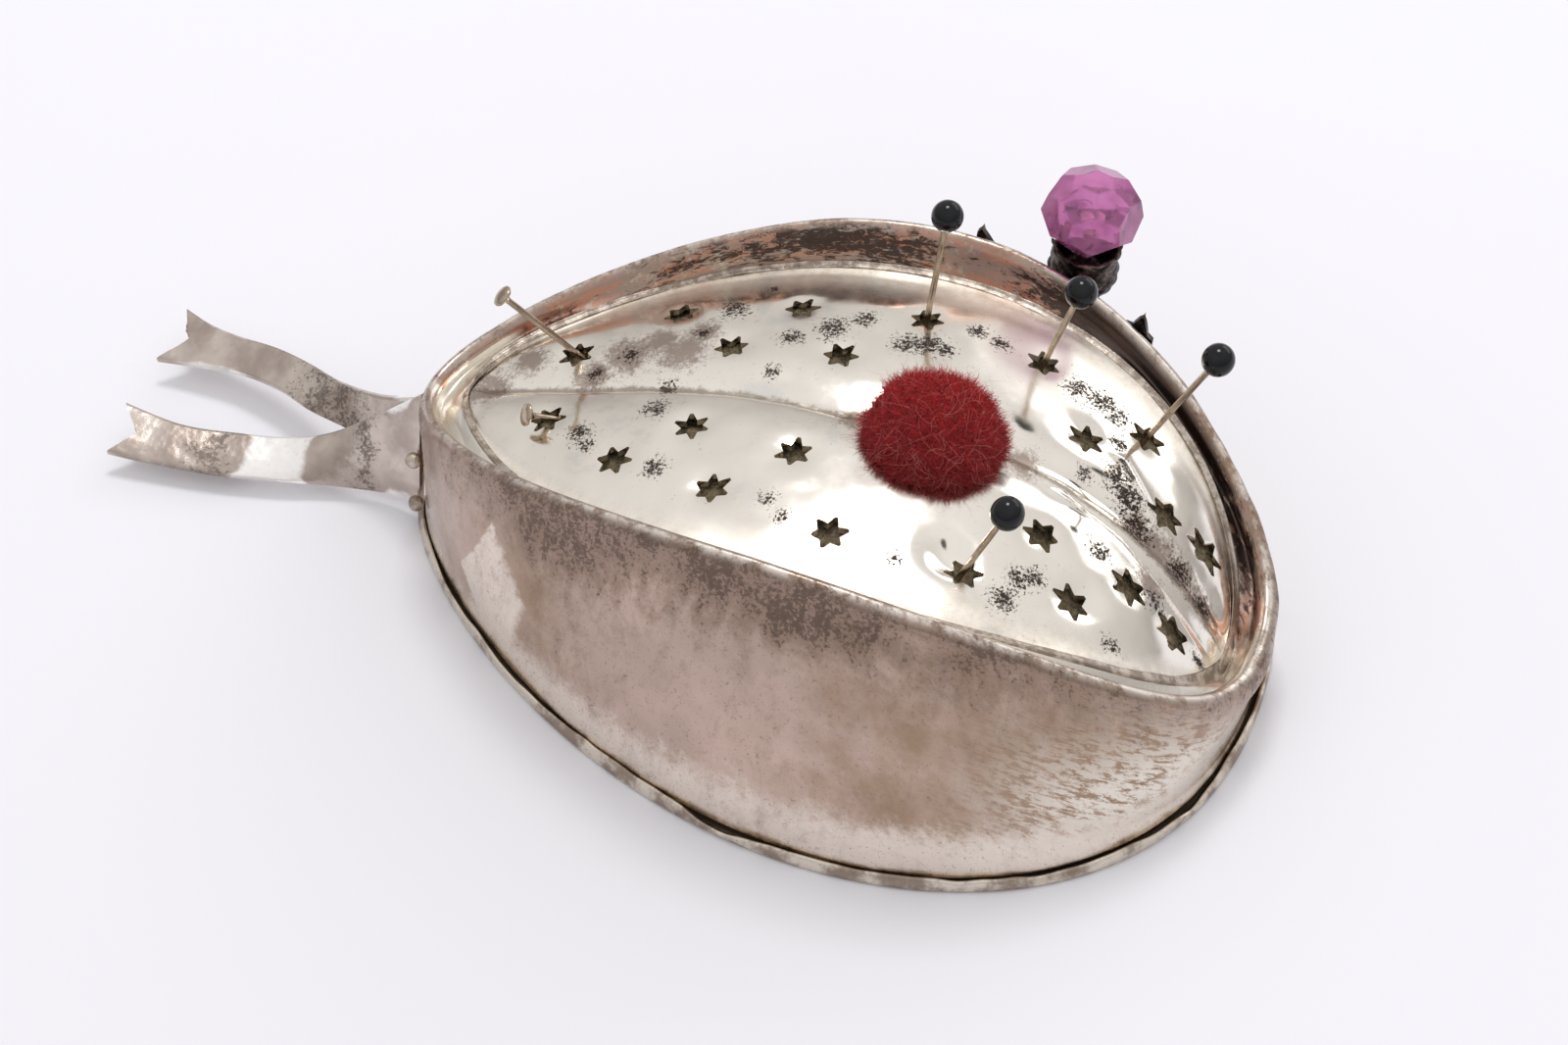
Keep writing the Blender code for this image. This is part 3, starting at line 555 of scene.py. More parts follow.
def dark_look():
    """Almost black, oxidised metal with rubbed brown-grey high spots."""
    look = Look("dark_metal", Metallic=1.0)
    blotch = look.noise(1.4, 4.0, 0.65)
    grain = look.noise(0.3, 3.0, 0.7)
    colour = look.cover((0.045, 0.035, 0.032), (0.20, 0.16, 0.14), blotch, 0.45, 0.70)
    colour = look.cover(colour, (0.02, 0.018, 0.018), grain, 0.6, 0.7, 0.5)
    relief = look.bump(look.plus(blotch, look.times(grain, 0.4)), 0.08)
    return look.finish(colour, look.between(grain, 0.28, 0.5), relief)


def steel_look():
    """Drawn pin steel, slightly yellowed."""
    look = Look("pin_steel", Metallic=1.0)
    drawn = look.noise(0.9, 3.0, 0.6)
    grain = look.noise(0.12, 3.0, 0.7)
    colour = look.cover((0.52, 0.43, 0.33), (0.38, 0.30, 0.23), drawn, 0.35, 0.7)
    colour = look.cover(colour, (0.20, 0.15, 0.11), grain, 0.62, 0.72, 0.4)
    return look.finish(colour, look.between(drawn, 0.12, 0.22), look.bump(grain, 0.003))


def black_glass_look():
    look = Look("black_glass", Specular_IOR_Level=0.3)
    cloud = look.noise(0.8, 3.0, 0.6)
    colour = look.cover((0.004, 0.005, 0.006), (0.008, 0.009, 0.011), cloud, 0.4, 0.7)
    dust = look.noise(0.10, 2.0, 0.6)
    rough = look.between(look.step(dust, 0.62, 0.72), 0.10, 0.24)
    return look.finish(colour, rough, look.bump(cloud, 0.010))


def amethyst_look():
    look = Look("amethyst_glass", Transmission_Weight=0.62, IOR=1.52)
    cloud = look.noise(3.0, 3.0, 0.5)
    colour = look.cover((0.76, 0.26, 0.57), (0.56, 0.15, 0.41), cloud, 0.35, 0.7)
    veil = look.noise(1.8, 2.0, 0.5, distortion=0.8)
    colour = look.cover(colour, (0.20, 0.06, 0.15), veil, 0.56, 0.66, 0.6)
    scratch = look.noise(0.3, 3.0, 0.6, (4.0, 0.6, 1.0))
    rough = look.between(look.step(scratch, 0.60, 0.72), 0.03, 0.10)
    return look.finish(colour, rough, look.bump(scratch, 0.002))


def felt_look():
    """Red wool felt: matted, with soft light and dark tufts."""
    look = Look("red_felt", Metallic=0.0, Sheen_Weight=0.12, Sheen_Roughness=0.5)
    look.shader.inputs["Sheen Tint"].default_value = (1.0, 0.45, 0.42, 1.0)
    tuft = look.noise(0.9, 5.0, 0.75, distortion=1.2)
    fibre = look.noise(0.16, 4.0, 0.8, distortion=2.0)
    colour = look.cover((0.19, 0.004, 0.007), (0.55, 0.012, 0.016), tuft, 0.32, 0.68)
    colour = look.cover(colour, (0.66, 0.024, 0.028), fibre, 0.50, 0.75)
    # Painted shade, darker low down and on the cap's right.
    colour = look.mix(look.times(look.painted("painted_shade"), 0.6), colour, (0.10, 0.003, 0.006))
    relief = look.bump(tuft, 0.35)
    relief = look.bump(fibre, 0.12, relief)
    return look.finish(colour, 0.95, relief)


def fibre_look():
    """Loose felt fibres, most red and some bleached pink."""
    look = Look("felt_fibre", Metallic=0.0, Sheen_Weight=0.05)
    pale = look.painted("pale_fibre")
    along = look.noise(0.5, 2.0, 0.6)
    colour = look.cover((0.34, 0.007, 0.011), (0.68, 0.018, 0.022), along, 0.3, 0.7)
    # Painted shade, darker low down and on the cap's right.
    colour = look.mix(look.times(look.painted("painted_shade"), 0.6), colour, (0.12, 0.004, 0.007))
    colour = look.mix(pale, colour, (0.66, 0.28, 0.25))
    return look.finish(colour, 0.8, look.bump(along, 0.01))


def wool_look():
    """Matted brown-green wool and bran, seen through the star holes."""
    look = Look("wool_stuffing", Metallic=0.0)
    clump = look.noise(0.9, 5.0, 0.75, distortion=1.5)
    fibre = look.noise(0.20, 4.0, 0.8, distortion=2.5)
    colour = look.cover((0.09, 0.065, 0.035), (0.38, 0.30, 0.18), clump, 0.35, 0.65)
    colour = look.cover(colour, (0.58, 0.50, 0.34), fibre, 0.52, 0.72)
    relief = look.bump(clump, 0.4)
    relief = look.bump(fibre, 0.15, relief)
    return look.finish(colour, 0.95, relief)


def thread_look():
    look = Look("red_thread", Metallic=0.0, Sheen_Weight=0.4)
    ply = look.noise(0.35, 3.0, 0.7, (1.0, 1.0, 0.4))
    colour = look.cover((0.12, 0.008, 0.010), (0.36, 0.02, 0.024), ply, 0.4, 0.6)
    return look.finish(colour, 0.85, look.bump(ply, 0.08))


def table_look():
    """The pale sheet that the object stands on."""
    look = Look("table", Metallic=0.0)
    broad = look.noise(120.0, 3.0, 0.5)
    grain = look.noise(1.5, 3.0, 0.6)
    colour = look.cover((0.885, 0.885, 0.935), (0.895, 0.895, 0.945), broad, 0.3, 0.7)
    return look.finish(colour, 0.7, look.bump(grain, 0.01))


# ================================================================ the cap
def ring(oval, angles, inset, heights):
    x, y = oval_points(oval, angles, inset)
    return np.stack([x, y, np.broadcast_to(heights, x.shape)], 1)


def rim_ring(angles, inset, drop):
    return ring(RIM_OVAL, angles, inset, rim_height(np.cos(angles)) - drop)


def crown_ring(angles, inset, drop):
    x, y = oval_points(CROWN_OVAL, angles, inset)
    return np.stack([x, y, crown_height(x, y) - drop], 1)


def wall_ring(angles, rise, inset=0.0):
    foot = np.stack(oval_points(BASE_OVAL, angles, WALL_FOOT_INSET + inset), 1)
    top = np.stack(oval_points(RIM_OVAL, angles, inset - RIM_ROUND), 1)
    plan = foot + (top - foot) * rise ** WALL_CURVE
    height = WALL_LOW + (rim_height(np.cos(angles)) - 2.2 - WALL_LOW) * rise
    return np.concatenate([plan, height[:, None]], 1)


def around(count):
    return np.linspace(0.0, math.tau, count, endpoint=False)


def build_wall(material):
    """Wall, rolled rim and inner flange as one sheet, with small dents and a wavering rim."""
    angles = around(AROUND_CAP)
    rises = (0.0, 0.14, 0.3, 0.47, 0.65, 0.83, 1.0)
    outer = [wall_ring(angles, rise) for rise in rises]
    roll = [rim_ring(angles, inset, drop) for inset, drop in
            ((-0.75, 0.9), (-0.25, 0.2), (0.3, 0.0), (0.95, 0.5), (1.45, 1.6))]
    flange = [crown_ring(angles, -0.3, -EDGE_LIFT), crown_ring(angles, -0.3, SHEET + 0.6)]
    under = [crown_ring(angles, -1.0, SHEET + 0.6), crown_ring(angles, -1.0, 0.0),
             rim_ring(angles, 0.75, 1.9), rim_ring(angles, 0.2, 0.85)]
    inner = [wall_ring(angles, rise, SHEET) for rise in reversed(rises)]
    keys = np.array(outer + roll + flange + under + inner)
    steps = 6
    points = curve_through(keys, steps, closed=True)
    row = np.arange(len(points)) / steps
    rim_row = len(outer) + 1
    # Dents grow from nothing at the foot and stay small at the rim's crest.
    places = (0, 1, 5, rim_row, rim_row + 2, len(outer) + 5, len(keys))
    amount = np.interp(row, places, (0, 0.5, 1, 0.45, 0.4, 0, 0))
    outwards = points - (1.0, 0.0, 12.0)
    outwards[..., 2] *= 0.2
    outwards /= np.linalg.norm(outwards, axis=-1, keepdims=True)
    dents = 0.42 * wander(points, 17.0, 3) + 0.16 * wander(points, 6.0, 4)
    dents -= 0.25 * (1.0 - np.exp(-(((points[..., 0] + 41.0) / 7.0) ** 2)))
    near_rim = np.exp(-((row - rim_row + 1.2) / 1.3) ** 2)[:, None]
    dents += near_rim * (0.30 * wander(points, 7.0, 5) + 0.24 * wander(points * (1.0, 1.0, 2.0), 3.2, 6))
    points += outwards * (amount[:, None] * dents)[..., None]
    count = len(angles)
    piece = make_piece("cap_wall", points, grid_faces(len(points), count, True, True), material)
    wall_paint(piece, row, rim_row, points)
    return piece


def wall_paint(piece, row, rim_row, points):
    """Masks that tell the wall's material where the metal is stained, rubbed or bare, and where shade and
    highlights are painted.

    A row counts key rings: the wall's foot is 0, the rim's crest rim_row, and then down the inside.
    A rise counts the same way up the outside, from 0 at the foot to 1 at the crest.
    """
    rise = np.interp(row, (0, 6, rim_row), (0, 0.86, 1.0))[:, None] * np.ones(points.shape[1])
    row = row[:, None] * np.ones(points.shape[1])
    x, y, z = points[..., 0], points[..., 1], points[..., 2]
    right = y < 0.0

    def zone(middle, low, width, height):
        return np.exp(-((x - middle) / width) ** 2 - ((rise - low) / height) ** 2)

    def stripe(rows_inside, reach):
        return np.exp(-((row - rim_row - rows_inside) / reach) ** 2)
    cloud = wander(points, 11.0, 81)
    # Painted highlights and reflection: a kite on the right wall and pale zones near the foot, with some
    # bare silver.
    from_kite = x - KITE_X
    kite = 1.0 - np.abs(from_kite / 5.6) - np.abs((rise - 0.36) / 0.38 - from_kite * 0.03)
    kite = np.clip(kite * np.where(from_kite < 0.0, 12.0, 2.5), 0.0, 1.0) * right
    pale_and_highlight = 0.66 * kite + 1.0 * zone(-24.0, 0.0, 15.0, 0.22) + 1.1 * zone(6.0, -0.02, 20.0, 0.25)
    pale_and_highlight += 1.0 * zone(30.0, 0.04, 12.0, 0.20) + 0.8 * zone(40.0, 0.3, 5.0, 0.45)
    pale_and_highlight = np.where(right, pale_and_highlight, 0.45 + 0.5 * cloud) + 0.6 * np.exp(-((x + 39.0) / 3.5) ** 2)
    # Painted shade under the rim's roll, with stains: darkest just below the crest.
    dirt_and_rim_shade = np.interp(rise, (0.0, 0.6, 0.78, 0.95, 1.0), (0.0, 0.06, 0.5, 1.0, 0.75)) * (1.0 + 0.35 * cloud)
    dirt_and_rim_shade += right * (0.55 * zone(-19.0, 0.74, 9.0, 0.16) + 0.6 * zone(5.0, 0.80, 9.0, 0.10)
                     + 0.25 * zone(-20.0, 0.35, 5.0, 0.22) - 0.8 * kite - 0.7 * zone(40.0, 0.3, 6.0, 0.5))
    olive = np.where(right, 0.8 * zone(22.0, 0.55, 16.0, 0.42) + 0.8 * zone(-24.0, 0.5, 7.0, 0.5)
                     + 0.4 * zone(15.0, 0.2, 12.0, 0.2) + 0.9 * zone(35.0, 0.55, 7.0, 0.35), 0.5 - cloud)
    rubbed = np.where(right, zone(31.0, 0.36, 7.0, 0.26) + 0.8 * zone(38.0, 0.5, 5.0, 0.35), 0.3 * cloud)
    inside = np.interp(row, (rim_row + 1.0, rim_row + 2.0), (0, 1))
    # The rim's crest: wear with a painted highlight along it.
    crest_wear_and_highlight = stripe(0.5, 0.75)
    sooty = 0.40 + 0.12 * stripe(3.0, 0.7) + 0.22 * wander(points, 7.0, 82)
    sooty += 0.42 * np.exp(-(((x - 26.0) / 10.0) ** 2)) * (y > 0.0)
    # Both ends of the recess and a line along its foot: bare silver with painted highlights.
    bare_and_highlight = np.clip((x - 33.0) / 4.0, 0.0, 1.0) * np.clip((5.0 - y) / 6.0, 0.0, 1.0)
    bare_and_highlight += np.clip((-32.0 - x) / 4.0, 0.0, 1.0) * (row > rim_row + 2.2)
    bare_and_highlight += 0.55 * stripe(4.4, 0.35) + 0.7 * right
    masks = {"pale_and_highlight": pale_and_highlight, "dirt_and_rim_shade": dirt_and_rim_shade, "olive": olive, "rubbed": rubbed, "inside": inside,
             "crest_wear_and_highlight": crest_wear_and_highlight, "sooty": sooty, "bare_and_highlight": bare_and_highlight}
    for name, values in masks.items():
        store(piece, name, np.clip(values, 0.0, 1.2))
    u = np.clip((x - RIM_OVAL[0]) / RIM_OVAL[1], -1.0, 1.0)
    store(piece, "flow", np.stack([x, y, z - rim_height(u)], -1) * MM, "FLOAT_VECTOR", "vector")


def star_outline(x, y, turn, source):
    """Corners of a hand-punched star, two at each of its six blunt tips and one at each notch."""
    outline = []
    for corner in range(12):
        tip = corner % 2 == 0
        radius = (STAR_TIP if tip else STAR_NOTCH) * source.uniform(0.9, 1.08)
        for aside in (-STAR_BLUNT, STAR_BLUNT) if tip else (0.0,):
            angle = math.tau * corner / 12 + turn + aside
            outline.append((x + radius * math.cos(angle), y + radius * math.sin(angle)))
    return outline


def crown_relief(x, y):
    """Small shapes pressed into the crown: the crease, hollows at the stars, a soft buckle."""
    points = np.stack([x, y, np.zeros_like(x)], -1)
    relief = 0.22 * wander(points, 9.0, 11) + 0.06 * wander(points, 3.5, 12)
    relief -= 0.50 * near_path(x, y, CREASE_BACK, 0.55)
    # In front of the toorie the crease opens into a hollow between two sharp folds.
    relief += 0.45 * near_path(x, y, CREASE_FRONT, 0.7)
    relief += 0.40 * near_path(x, y, ((26, 7.0), (30, 3.4), (34, 2.6), (37, 0.4)), 0.6)
    relief -= 0.85 * np.exp(-((y - 1.6) / 1.5) ** 2) * np.clip((x - 19.0) / 8.0, 0.0, 1.0)
    relief += 0.35 * near_path(x, y, ((22, -0.9), (28, -1.4), (33, -3.2), (37, -3.9)), 0.45)
    relief -= 0.45 * near_path(x, y, ((24, -0.4), (30, -1.6), (34, -2.4), (37, -2.9)), 0.8)
    for hole_x, hole_y in STARS:
        square = (x - hole_x) ** 2 + (y - hole_y) ** 2
        relief -= 0.30 * np.exp(-square / 3.0)
    # One deep hollow beside the near pin and a few light ones.
    for dent_x, dent_y, radius, depth in ((15.2, -12.7, 1.9, 0.95), (-12.4, 6.4, 1.3, 0.12),
                                          (21.2, 7.6, 1.5, 0.2), (27.2, -9.6, 1.7, 0.35),
                                          (-7.9, -12.2, 1.4, 0.15)):
        square = (x - dent_x) ** 2 + (y - dent_y) ** 2
        relief -= depth * np.exp(-(square / radius ** 2) ** 1.25)
    return relief


def crown_rows(rows, columns, inset):
    """x and y of a grid across the crown, from its back to its front."""
    angles = np.radians(np.linspace(176.0, 4.0, rows))
    x, half_width = oval_points(CROWN_OVAL, angles, inset)
    share = np.linspace(-1.0, 1.0, columns)
    return x[:, None] * np.ones(columns), half_width[:, None] * share


def build_crown(material):
    """The pressed crown with its punched star holes."""
    x, y = crown_rows(300, 170, -0.25)
    edge = np.clip(1.0 - crown_share(x, y), 0.0, 1.0)
    from_end = (1.0 - np.abs(x - CROWN_OVAL[0]) / CROWN_OVAL[1]) * CROWN_OVAL[1] / CROWN_OVAL[2]
    fade = np.clip(np.minimum(edge / 0.06, from_end / 0.12), 0.0, 1.0)
    z = crown_height(x, y) + crown_relief(x, y) * fade
    z += EDGE_LIFT * np.clip(1.0 - np.minimum(edge, from_end) / 0.15, 0.0, 1.0) ** 2
    front = np.stack([x, y, z], -1)
    piece = make_slab("cap_crown", front, front - (0.0, 0.0, SHEET), material)
    corners = []
    faces = []
    source = np.random.default_rng(15)
    for number, (hole_x, hole_y) in enumerate(STARS):
        outline = star_outline(hole_x, hole_y, 0.7 + number * 0.9, source)
        height = float(crown_height(np.array(hole_x), np.array(hole_y)))
        for dz in (-3.0, 3.0):
            corners += [(px, py, height + dz) for px, py in outline]
        sides = len(outline)
        low = np.arange(sides) + number * 2 * sides
        high = low + sides
        faces += np.stack([low, np.roll(low, -1), np.roll(high, -1), high], 1).tolist()
        faces += [low[::-1].tolist(), high.tolist()]
    punch = make_piece("star_punch", corners, faces, material)
    cut = piece.modifiers.new("stars", "BOOLEAN")
    cut.operation = "DIFFERENCE"
    cut.solver = "EXACT"
    cut.object = punch
    apply_modifiers(piece)
    bpy.data.objects.remove(punch)
    piece.data.set_sharp_from_angle(angle=math.radians(50.0))

    def near_edge(p, start, width):
        return np.clip((crown_share(p[:, 0], p[:, 1]) - start) / width, 0.0, 1.0)

    crumbs = ((-21.9, -6.8, 2.0), (-20.6, -8.4, 1.3), (-15.8, -3.3, 2.2), (-13.1, -10.7, 1.9),
              (-16.0, 0.2, 1.6), (-6.6, 7.9, 2.0), (-3.2, 9.9, 2.6), (-6.8, 2.9, 1.4), (-1.6, -12.7, 1.5),
              (0.2, -14.2, 1.4), (-10.9, 15.4, 1.0), (-13.4, 11.6, 2.4), (3.9, 9.9, 2.2),
              (5.8, 10.4, 2.5), (7.5, 10.3, 1.8), (9.3, 14.3, 1.7), (11.9, 13.8, 1.6), (19.7, 12.4, 2.2),
              (21.9, 12.2, 2.7), (23.7, 11.7, 2.2), (-0.9, 12.2, 1.9), (25.9, 4.9, 2.5), (27.1, 3.6, 2.8),
              (28.7, 1.7, 2.4), (33.0, 1.3, 2.0), (35.4, 0.7, 1.6), (26.9, -4.2, 2.0), (21.6, -12.0, 2.0),
              (20.9, -14.6, 2.0), (22.7, -11.0, 1.8), (32.2, -4.5, 1.6), (11.1, -15.1, 1.6),
              (23.2, 3.0, 1.3), (30.3, -12.0, 1.3), (36.9, -4.9, 1.2), (24.9, 8.6, 1.6),
              (-23.7, 1.7, 1.4), (-21.1, 4.1, 1.7), (-15.1, 7.4, 1.3))
    paint(piece, "tarnish", lambda p: patches(p, crumbs))
    hazes = ((-23.7, 1.7, 2.4), (-21.1, 4.1, 3.4), (-16.0, 4.5, 3.0), (-15.1, 7.4, 2.4), (-18.8, 5.8, 2.8),
             (28.7, 1.7, 2.0), (30.7, 1.5, 2.2), (33.0, 1.3, 2.2), (35.4, 0.7, 2.0), (31.5, -3.3, 1.8),
             (-34.0, 0.0, 3.0), (2.5, -0.5, 2.2), (18.0, 0.5, 2.2), (-31.0, 3.5, 2.5))
    paint(piece, "haze", lambda p: patches(p, hazes))
    dull_spot = ((14.5, 15.0, 6.5),)
    paint(piece, "dull", lambda p: np.maximum(patches(p, dull_spot), 0.9 * near_edge(p, 0.74, 0.16)))
    paint(piece, "edge", lambda p: near_edge(p, 0.80, 0.2) * 0.8)
    paint(piece, "seam", lambda p: np.maximum.reduce([
        near_path(p[:, 0], p[:, 1], CREASE_BACK, 0.45),
        near_path(p[:, 0], p[:, 1], CREASE_FRONT, 0.35),
        0.55 * near_edge(p, 0.985, 0.01)]))
    return piece


def build_crown_solder(material):
    """The fillet of solder between crown and flange."""
    angles = around(AROUND_CAP)
    section = ((-0.45, 0.1), (-0.4, -0.35), (-0.1, -0.15), (0.3, 0.05), (0.1, 0.2))
    keys = np.array([crown_ring(angles, inset, drop - EDGE_LIFT) for inset, drop in section])
    points = curve_through(keys, 3, closed=True)
    points[..., 2] += 0.12 * wander(points, 2.2, 21)
    faces = grid_faces(len(points), len(angles), True, True)
    return make_piece("crown_solder_fillet", points, faces, material)


def build_base(material):
    """The base plate, its thin edge turned up by hand, so that it wavers along the wall's foot."""
    angles = around(AROUND_BASE)
    section = ((3.0, PLATE), (1.7, PLATE - 0.05), (1.0, PLATE - 0.02), (0.62, 0.98), (0.38, 1.28),
               (0.2, 1.36), (0.03, 1.26), (0.0, 0.9), (0.05, 0.45), (0.25, 0.1), (0.8, 0.02), (3.0, 0.0))
    keys = np.array([ring(BASE_OVAL, angles, inset, height) for inset, height in section])
    points = curve_through(keys, 3, closed=False)
    crest = np.clip((points[..., 2] - 0.3) / 0.9, 0.0, 1.0)
    flat = points * (1.0, 1.0, 0.0)
    waver = 0.34 * wander(flat, 6.0, 31) + 0.20 * wander(flat, 2.2, 32) - 0.16
    points[..., 2] += crest * waver
    inwards = -flat / np.linalg.norm(flat, axis=-1, keepdims=True)
    points += inwards * (np.clip(0.35 * wander(flat, 8.0, 33) + 0.15, 0.0, 0.5) * crest)[..., None]
    rows = len(points)
    count = len(angles)
    faces = grid_faces(rows, count, wrap_columns=True)
    faces.append(list(range(count)))
    faces.append([(rows - 1) * count + j for j in reversed(range(count))])
    piece = make_piece("cap_base", points, faces, material, 60.0)
    row = np.arange(rows) / 3.0
    # Painted shade and dirt in the groove between the wall's foot and the lip.
    store(piece, "groove_dirt_and_shade", np.repeat(np.interp(row, (0, 2, 3, 4), (1.0, 1.0, 0.45, 0.0)), count))
    return piece


def build_stuffing(material):
    """Packed wool under the crown, lumpy where it shows through the stars."""
    rows, columns = 150, 90
    x, y = crown_rows(rows, columns, 1.4)
    top = np.stack([x, y, crown_height(x, y) - SHEET - 0.62], -1)
    top[..., 2] += 0.28 * wander(top, 1.1, 41) + 0.14 * wander(top, 0.5, 42) - 0.1
    x, half_width = oval_points(BASE_OVAL, np.radians(np.linspace(172.0, 8.0, rows)), 3.2)
    share = np.linspace(-1.0, 1.0, columns)
    floor = np.full((rows, columns), PLATE + 0.35)
    low = np.stack([x[:, None] * np.ones(columns), half_width[:, None] * share, floor], -1)
    return make_slab("wool_filling", top, low, material)


# ================================================================ the toorie
def surface_tilt(x):
    rise = crown_height(np.array(x + 5.0), np.array(0.0)) - crown_height(np.array(x - 5.0), np.array(0.0))
    return Vector((-float(rise) / 10.0, 0.0, 1.0)).normalized()


def build_toorie(felt, fibre):
    """A trimmed felt ball, flat where it sits on the crown, with loose fibres all over."""
    low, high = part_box("toorie")
    x = (low.x + high.x) / 2 / MM - 0.2
    radius = (high.y - low.y) / 2 / MM
    up = surface_tilt(x)
    crown_top = float(crown_height(np.array(x), np.array(0.0)))
    seat = Vector((x, -0.9, crown_top))
    height = (high.z / MM - crown_top) / up.z - 1.3
    profile = [(0.0, 0.05), (0.5 * radius, 0.05), (0.84 * radius, 0.05)]
    for step in range(25):
        angle = math.radians(90.0 * step / 25)
        profile.append((radius * 0.92 * math.cos(angle) ** 0.84, height * (0.13 + 0.87 * math.sin(angle))))
    profile.append((0.0, height))
    ball = make_turned("felt_ball", profile, 96, felt, seat, up, 180.0)
    mesh = ball.data
    points = np.array([vertex.co for vertex in mesh.vertices]) / MM
    normals = np.array([vertex.normal for vertex in mesh.vertices])
    lumps = 0.32 * wander(points, 2.9, 51) + 0.22 * wander(points, 0.9, 52) + 0.10 * wander(points, 0.4, 53)
    points += normals * (lumps - 0.25)[:, None]
    points[:, 2] = np.maximum(points[:, 2], crown_height(points[:, 0], points[:, 1]) + 0.32)
    mesh.vertices.foreach_set("co", (points * MM).astype(np.float32).ravel())
    mesh.update()
    fibres = build_fibres(ball, up, fibre)

    # Painted shade: the felt and its fibres are darker low down and on the cap's right.
    def painted_shade(p):
        return 0.62 - 0.55 * (p[:, 2] - crown_top) / height - 0.35 * p[:, 1] / radius
    for piece in (ball, fibres):
        paint(piece, "painted_shade", painted_shade)
    return ball, fibres


def build_fibres(ball, up, material):
    """Short curled fibres, each a three-sided tube that tapers to its end; a few long ones lie flat."""
    source = np.random.default_rng(61)
    mesh = ball.data
    centres = np.array([face.center for face in mesh.polygons]) / MM
    normals = np.array([face.normal for face in mesh.polygons])
    areas = np.array([face.area for face in mesh.polygons])
    areas = areas * (normals @ np.array(up) > -0.3)
    chosen = source.choice(len(areas), FIBRES, p=areas / areas.sum())
    root = centres[chosen] + source.normal(0.0, 0.10, (FIBRES, 3))
    out = normals[chosen]
    side = np.cross(out, source.normal(0.0, 1.0, (FIBRES, 3)))
    side /= np.linalg.norm(side, axis=1, keepdims=True)
    long_one = source.random(FIBRES) < 0.03
    length = np.where(long_one, source.uniform(1.8, 4.2, FIBRES), source.uniform(0.45, 1.45, FIBRES))
    lean = np.where(long_one, source.uniform(1.5, 4.0, FIBRES), source.uniform(0.1, 1.8, FIBRES))
    curl = source.uniform(-2.6, 2.6, FIBRES)
    thick = np.where(long_one, 0.020, 0.030)
    across = np.cross(out, side)
    path = []
    spot = root - out * 0.12
    for section in range(FIBRE_RINGS):
        t = section / (FIBRE_RINGS - 1)
        bend = curl * t
        flat = side * np.cos(bend)[:, None] + across * np.sin(bend)[:, None]
        heading = out * (1.2 - 1.1 * t) + flat * lean[:, None]
        heading /= np.linalg.norm(heading, axis=1, keepdims=True)
        path.append(spot)
        spot = spot + heading * (length / (FIBRE_RINGS - 1))[:, None]
    for spot in path:
        spot[:, 2] = np.maximum(spot[:, 2], crown_height(spot[:, 0], spot[:, 1]) + 0.3)
    points = []
    for section in range(FIBRE_RINGS):
        width = thick * (1.0 - 0.6 * section / (FIBRE_RINGS - 1))
        for corner in range(3):
            angle = math.tau * corner / 3
            offset = side * math.cos(angle) + across * math.sin(angle)
            points.append(path[section] + offset * width[:, None])
    points = np.stack(points, 1)
    faces = []
    for hair in range(FIBRES):
        start = hair * FIBRE_RINGS * 3
        faces.append([start + 2, start + 1, start])
        for section in range(FIBRE_RINGS - 1):
            for corner in range(3):
                a = start + section * 3 + corner
                b = start + section * 3 + (corner + 1) % 3
                faces.append([a, b, b + 3, a + 3])
        end = start + (FIBRE_RINGS - 1) * 3
        faces.append([end, end + 1, end + 2])
    hairs = make_piece("felt_fibres", points, faces, material)
    pale = np.where(source.random(FIBRES) < 0.035, source.uniform(0.2, 1.0, FIBRES), 0.0)
    pale = np.where(long_one, source.uniform(0.3, 1.0, FIBRES), pale)
    store(hairs, "pale_fibre", np.repeat(pale, FIBRE_RINGS * 3))
    return hairs


# ================================================================ pins
def node_centre(node):
    low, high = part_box(node)
    return (low + high) / 2 / MM


def joint_axis(body):
    """The direction that a pin is pulled in, from the joint of its body."""
    for joint in frame["joints"]:
        if joint["child"] == body:
            return Vector(joint["axis"])
    raise ValueError("no joint moves " + body)


def pin_profile(top):
    """A shaft from its ground point up to the height top, measured from the pin's head."""
    profile = [(radius, height - PIN_LENGTH) for radius, height in PIN_POINT]
    return profile + [(PIN_RADIUS, height) for height in np.linspace(-20.0, top, 10)]


def build_glass_pin(number, steel, glass):
    """A steel shaft and the ball of glass melted on to its end."""
    axis = joint_axis("glass_pin_%d" % number)
    node = "glass_head_%d" % number
    low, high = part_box(node)
    centre = (low + high) / 2 / MM
    radius = (high.z - low.z) / 2 / MM
    shaft = pin_profile(-radius - 0.25) + [(0.42, -radius + 0.05), (0.3, -0.6), (0.0, -0.5)]
    piece = make_turned("steel_shaft_%d" % number, shaft, 20, steel, centre, axis)
    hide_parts("pin_shaft_%d" % number)

    # A drop of melted glass is never quite round: it is drawn out a little towards the shaft.
    def drawn(angle, height):
        return 1.0 - 0.02 * np.cos(2.0 * angle) - 0.05 * np.clip(-height / radius, 0.0, 1.0) ** 3
    profile = ball_profile(radius, 24)
    ball = make_turned("glass_ball_%d" % number, profile, 48, glass, centre, axis, 180.0, drawn)
    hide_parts(node)
    return piece, ball


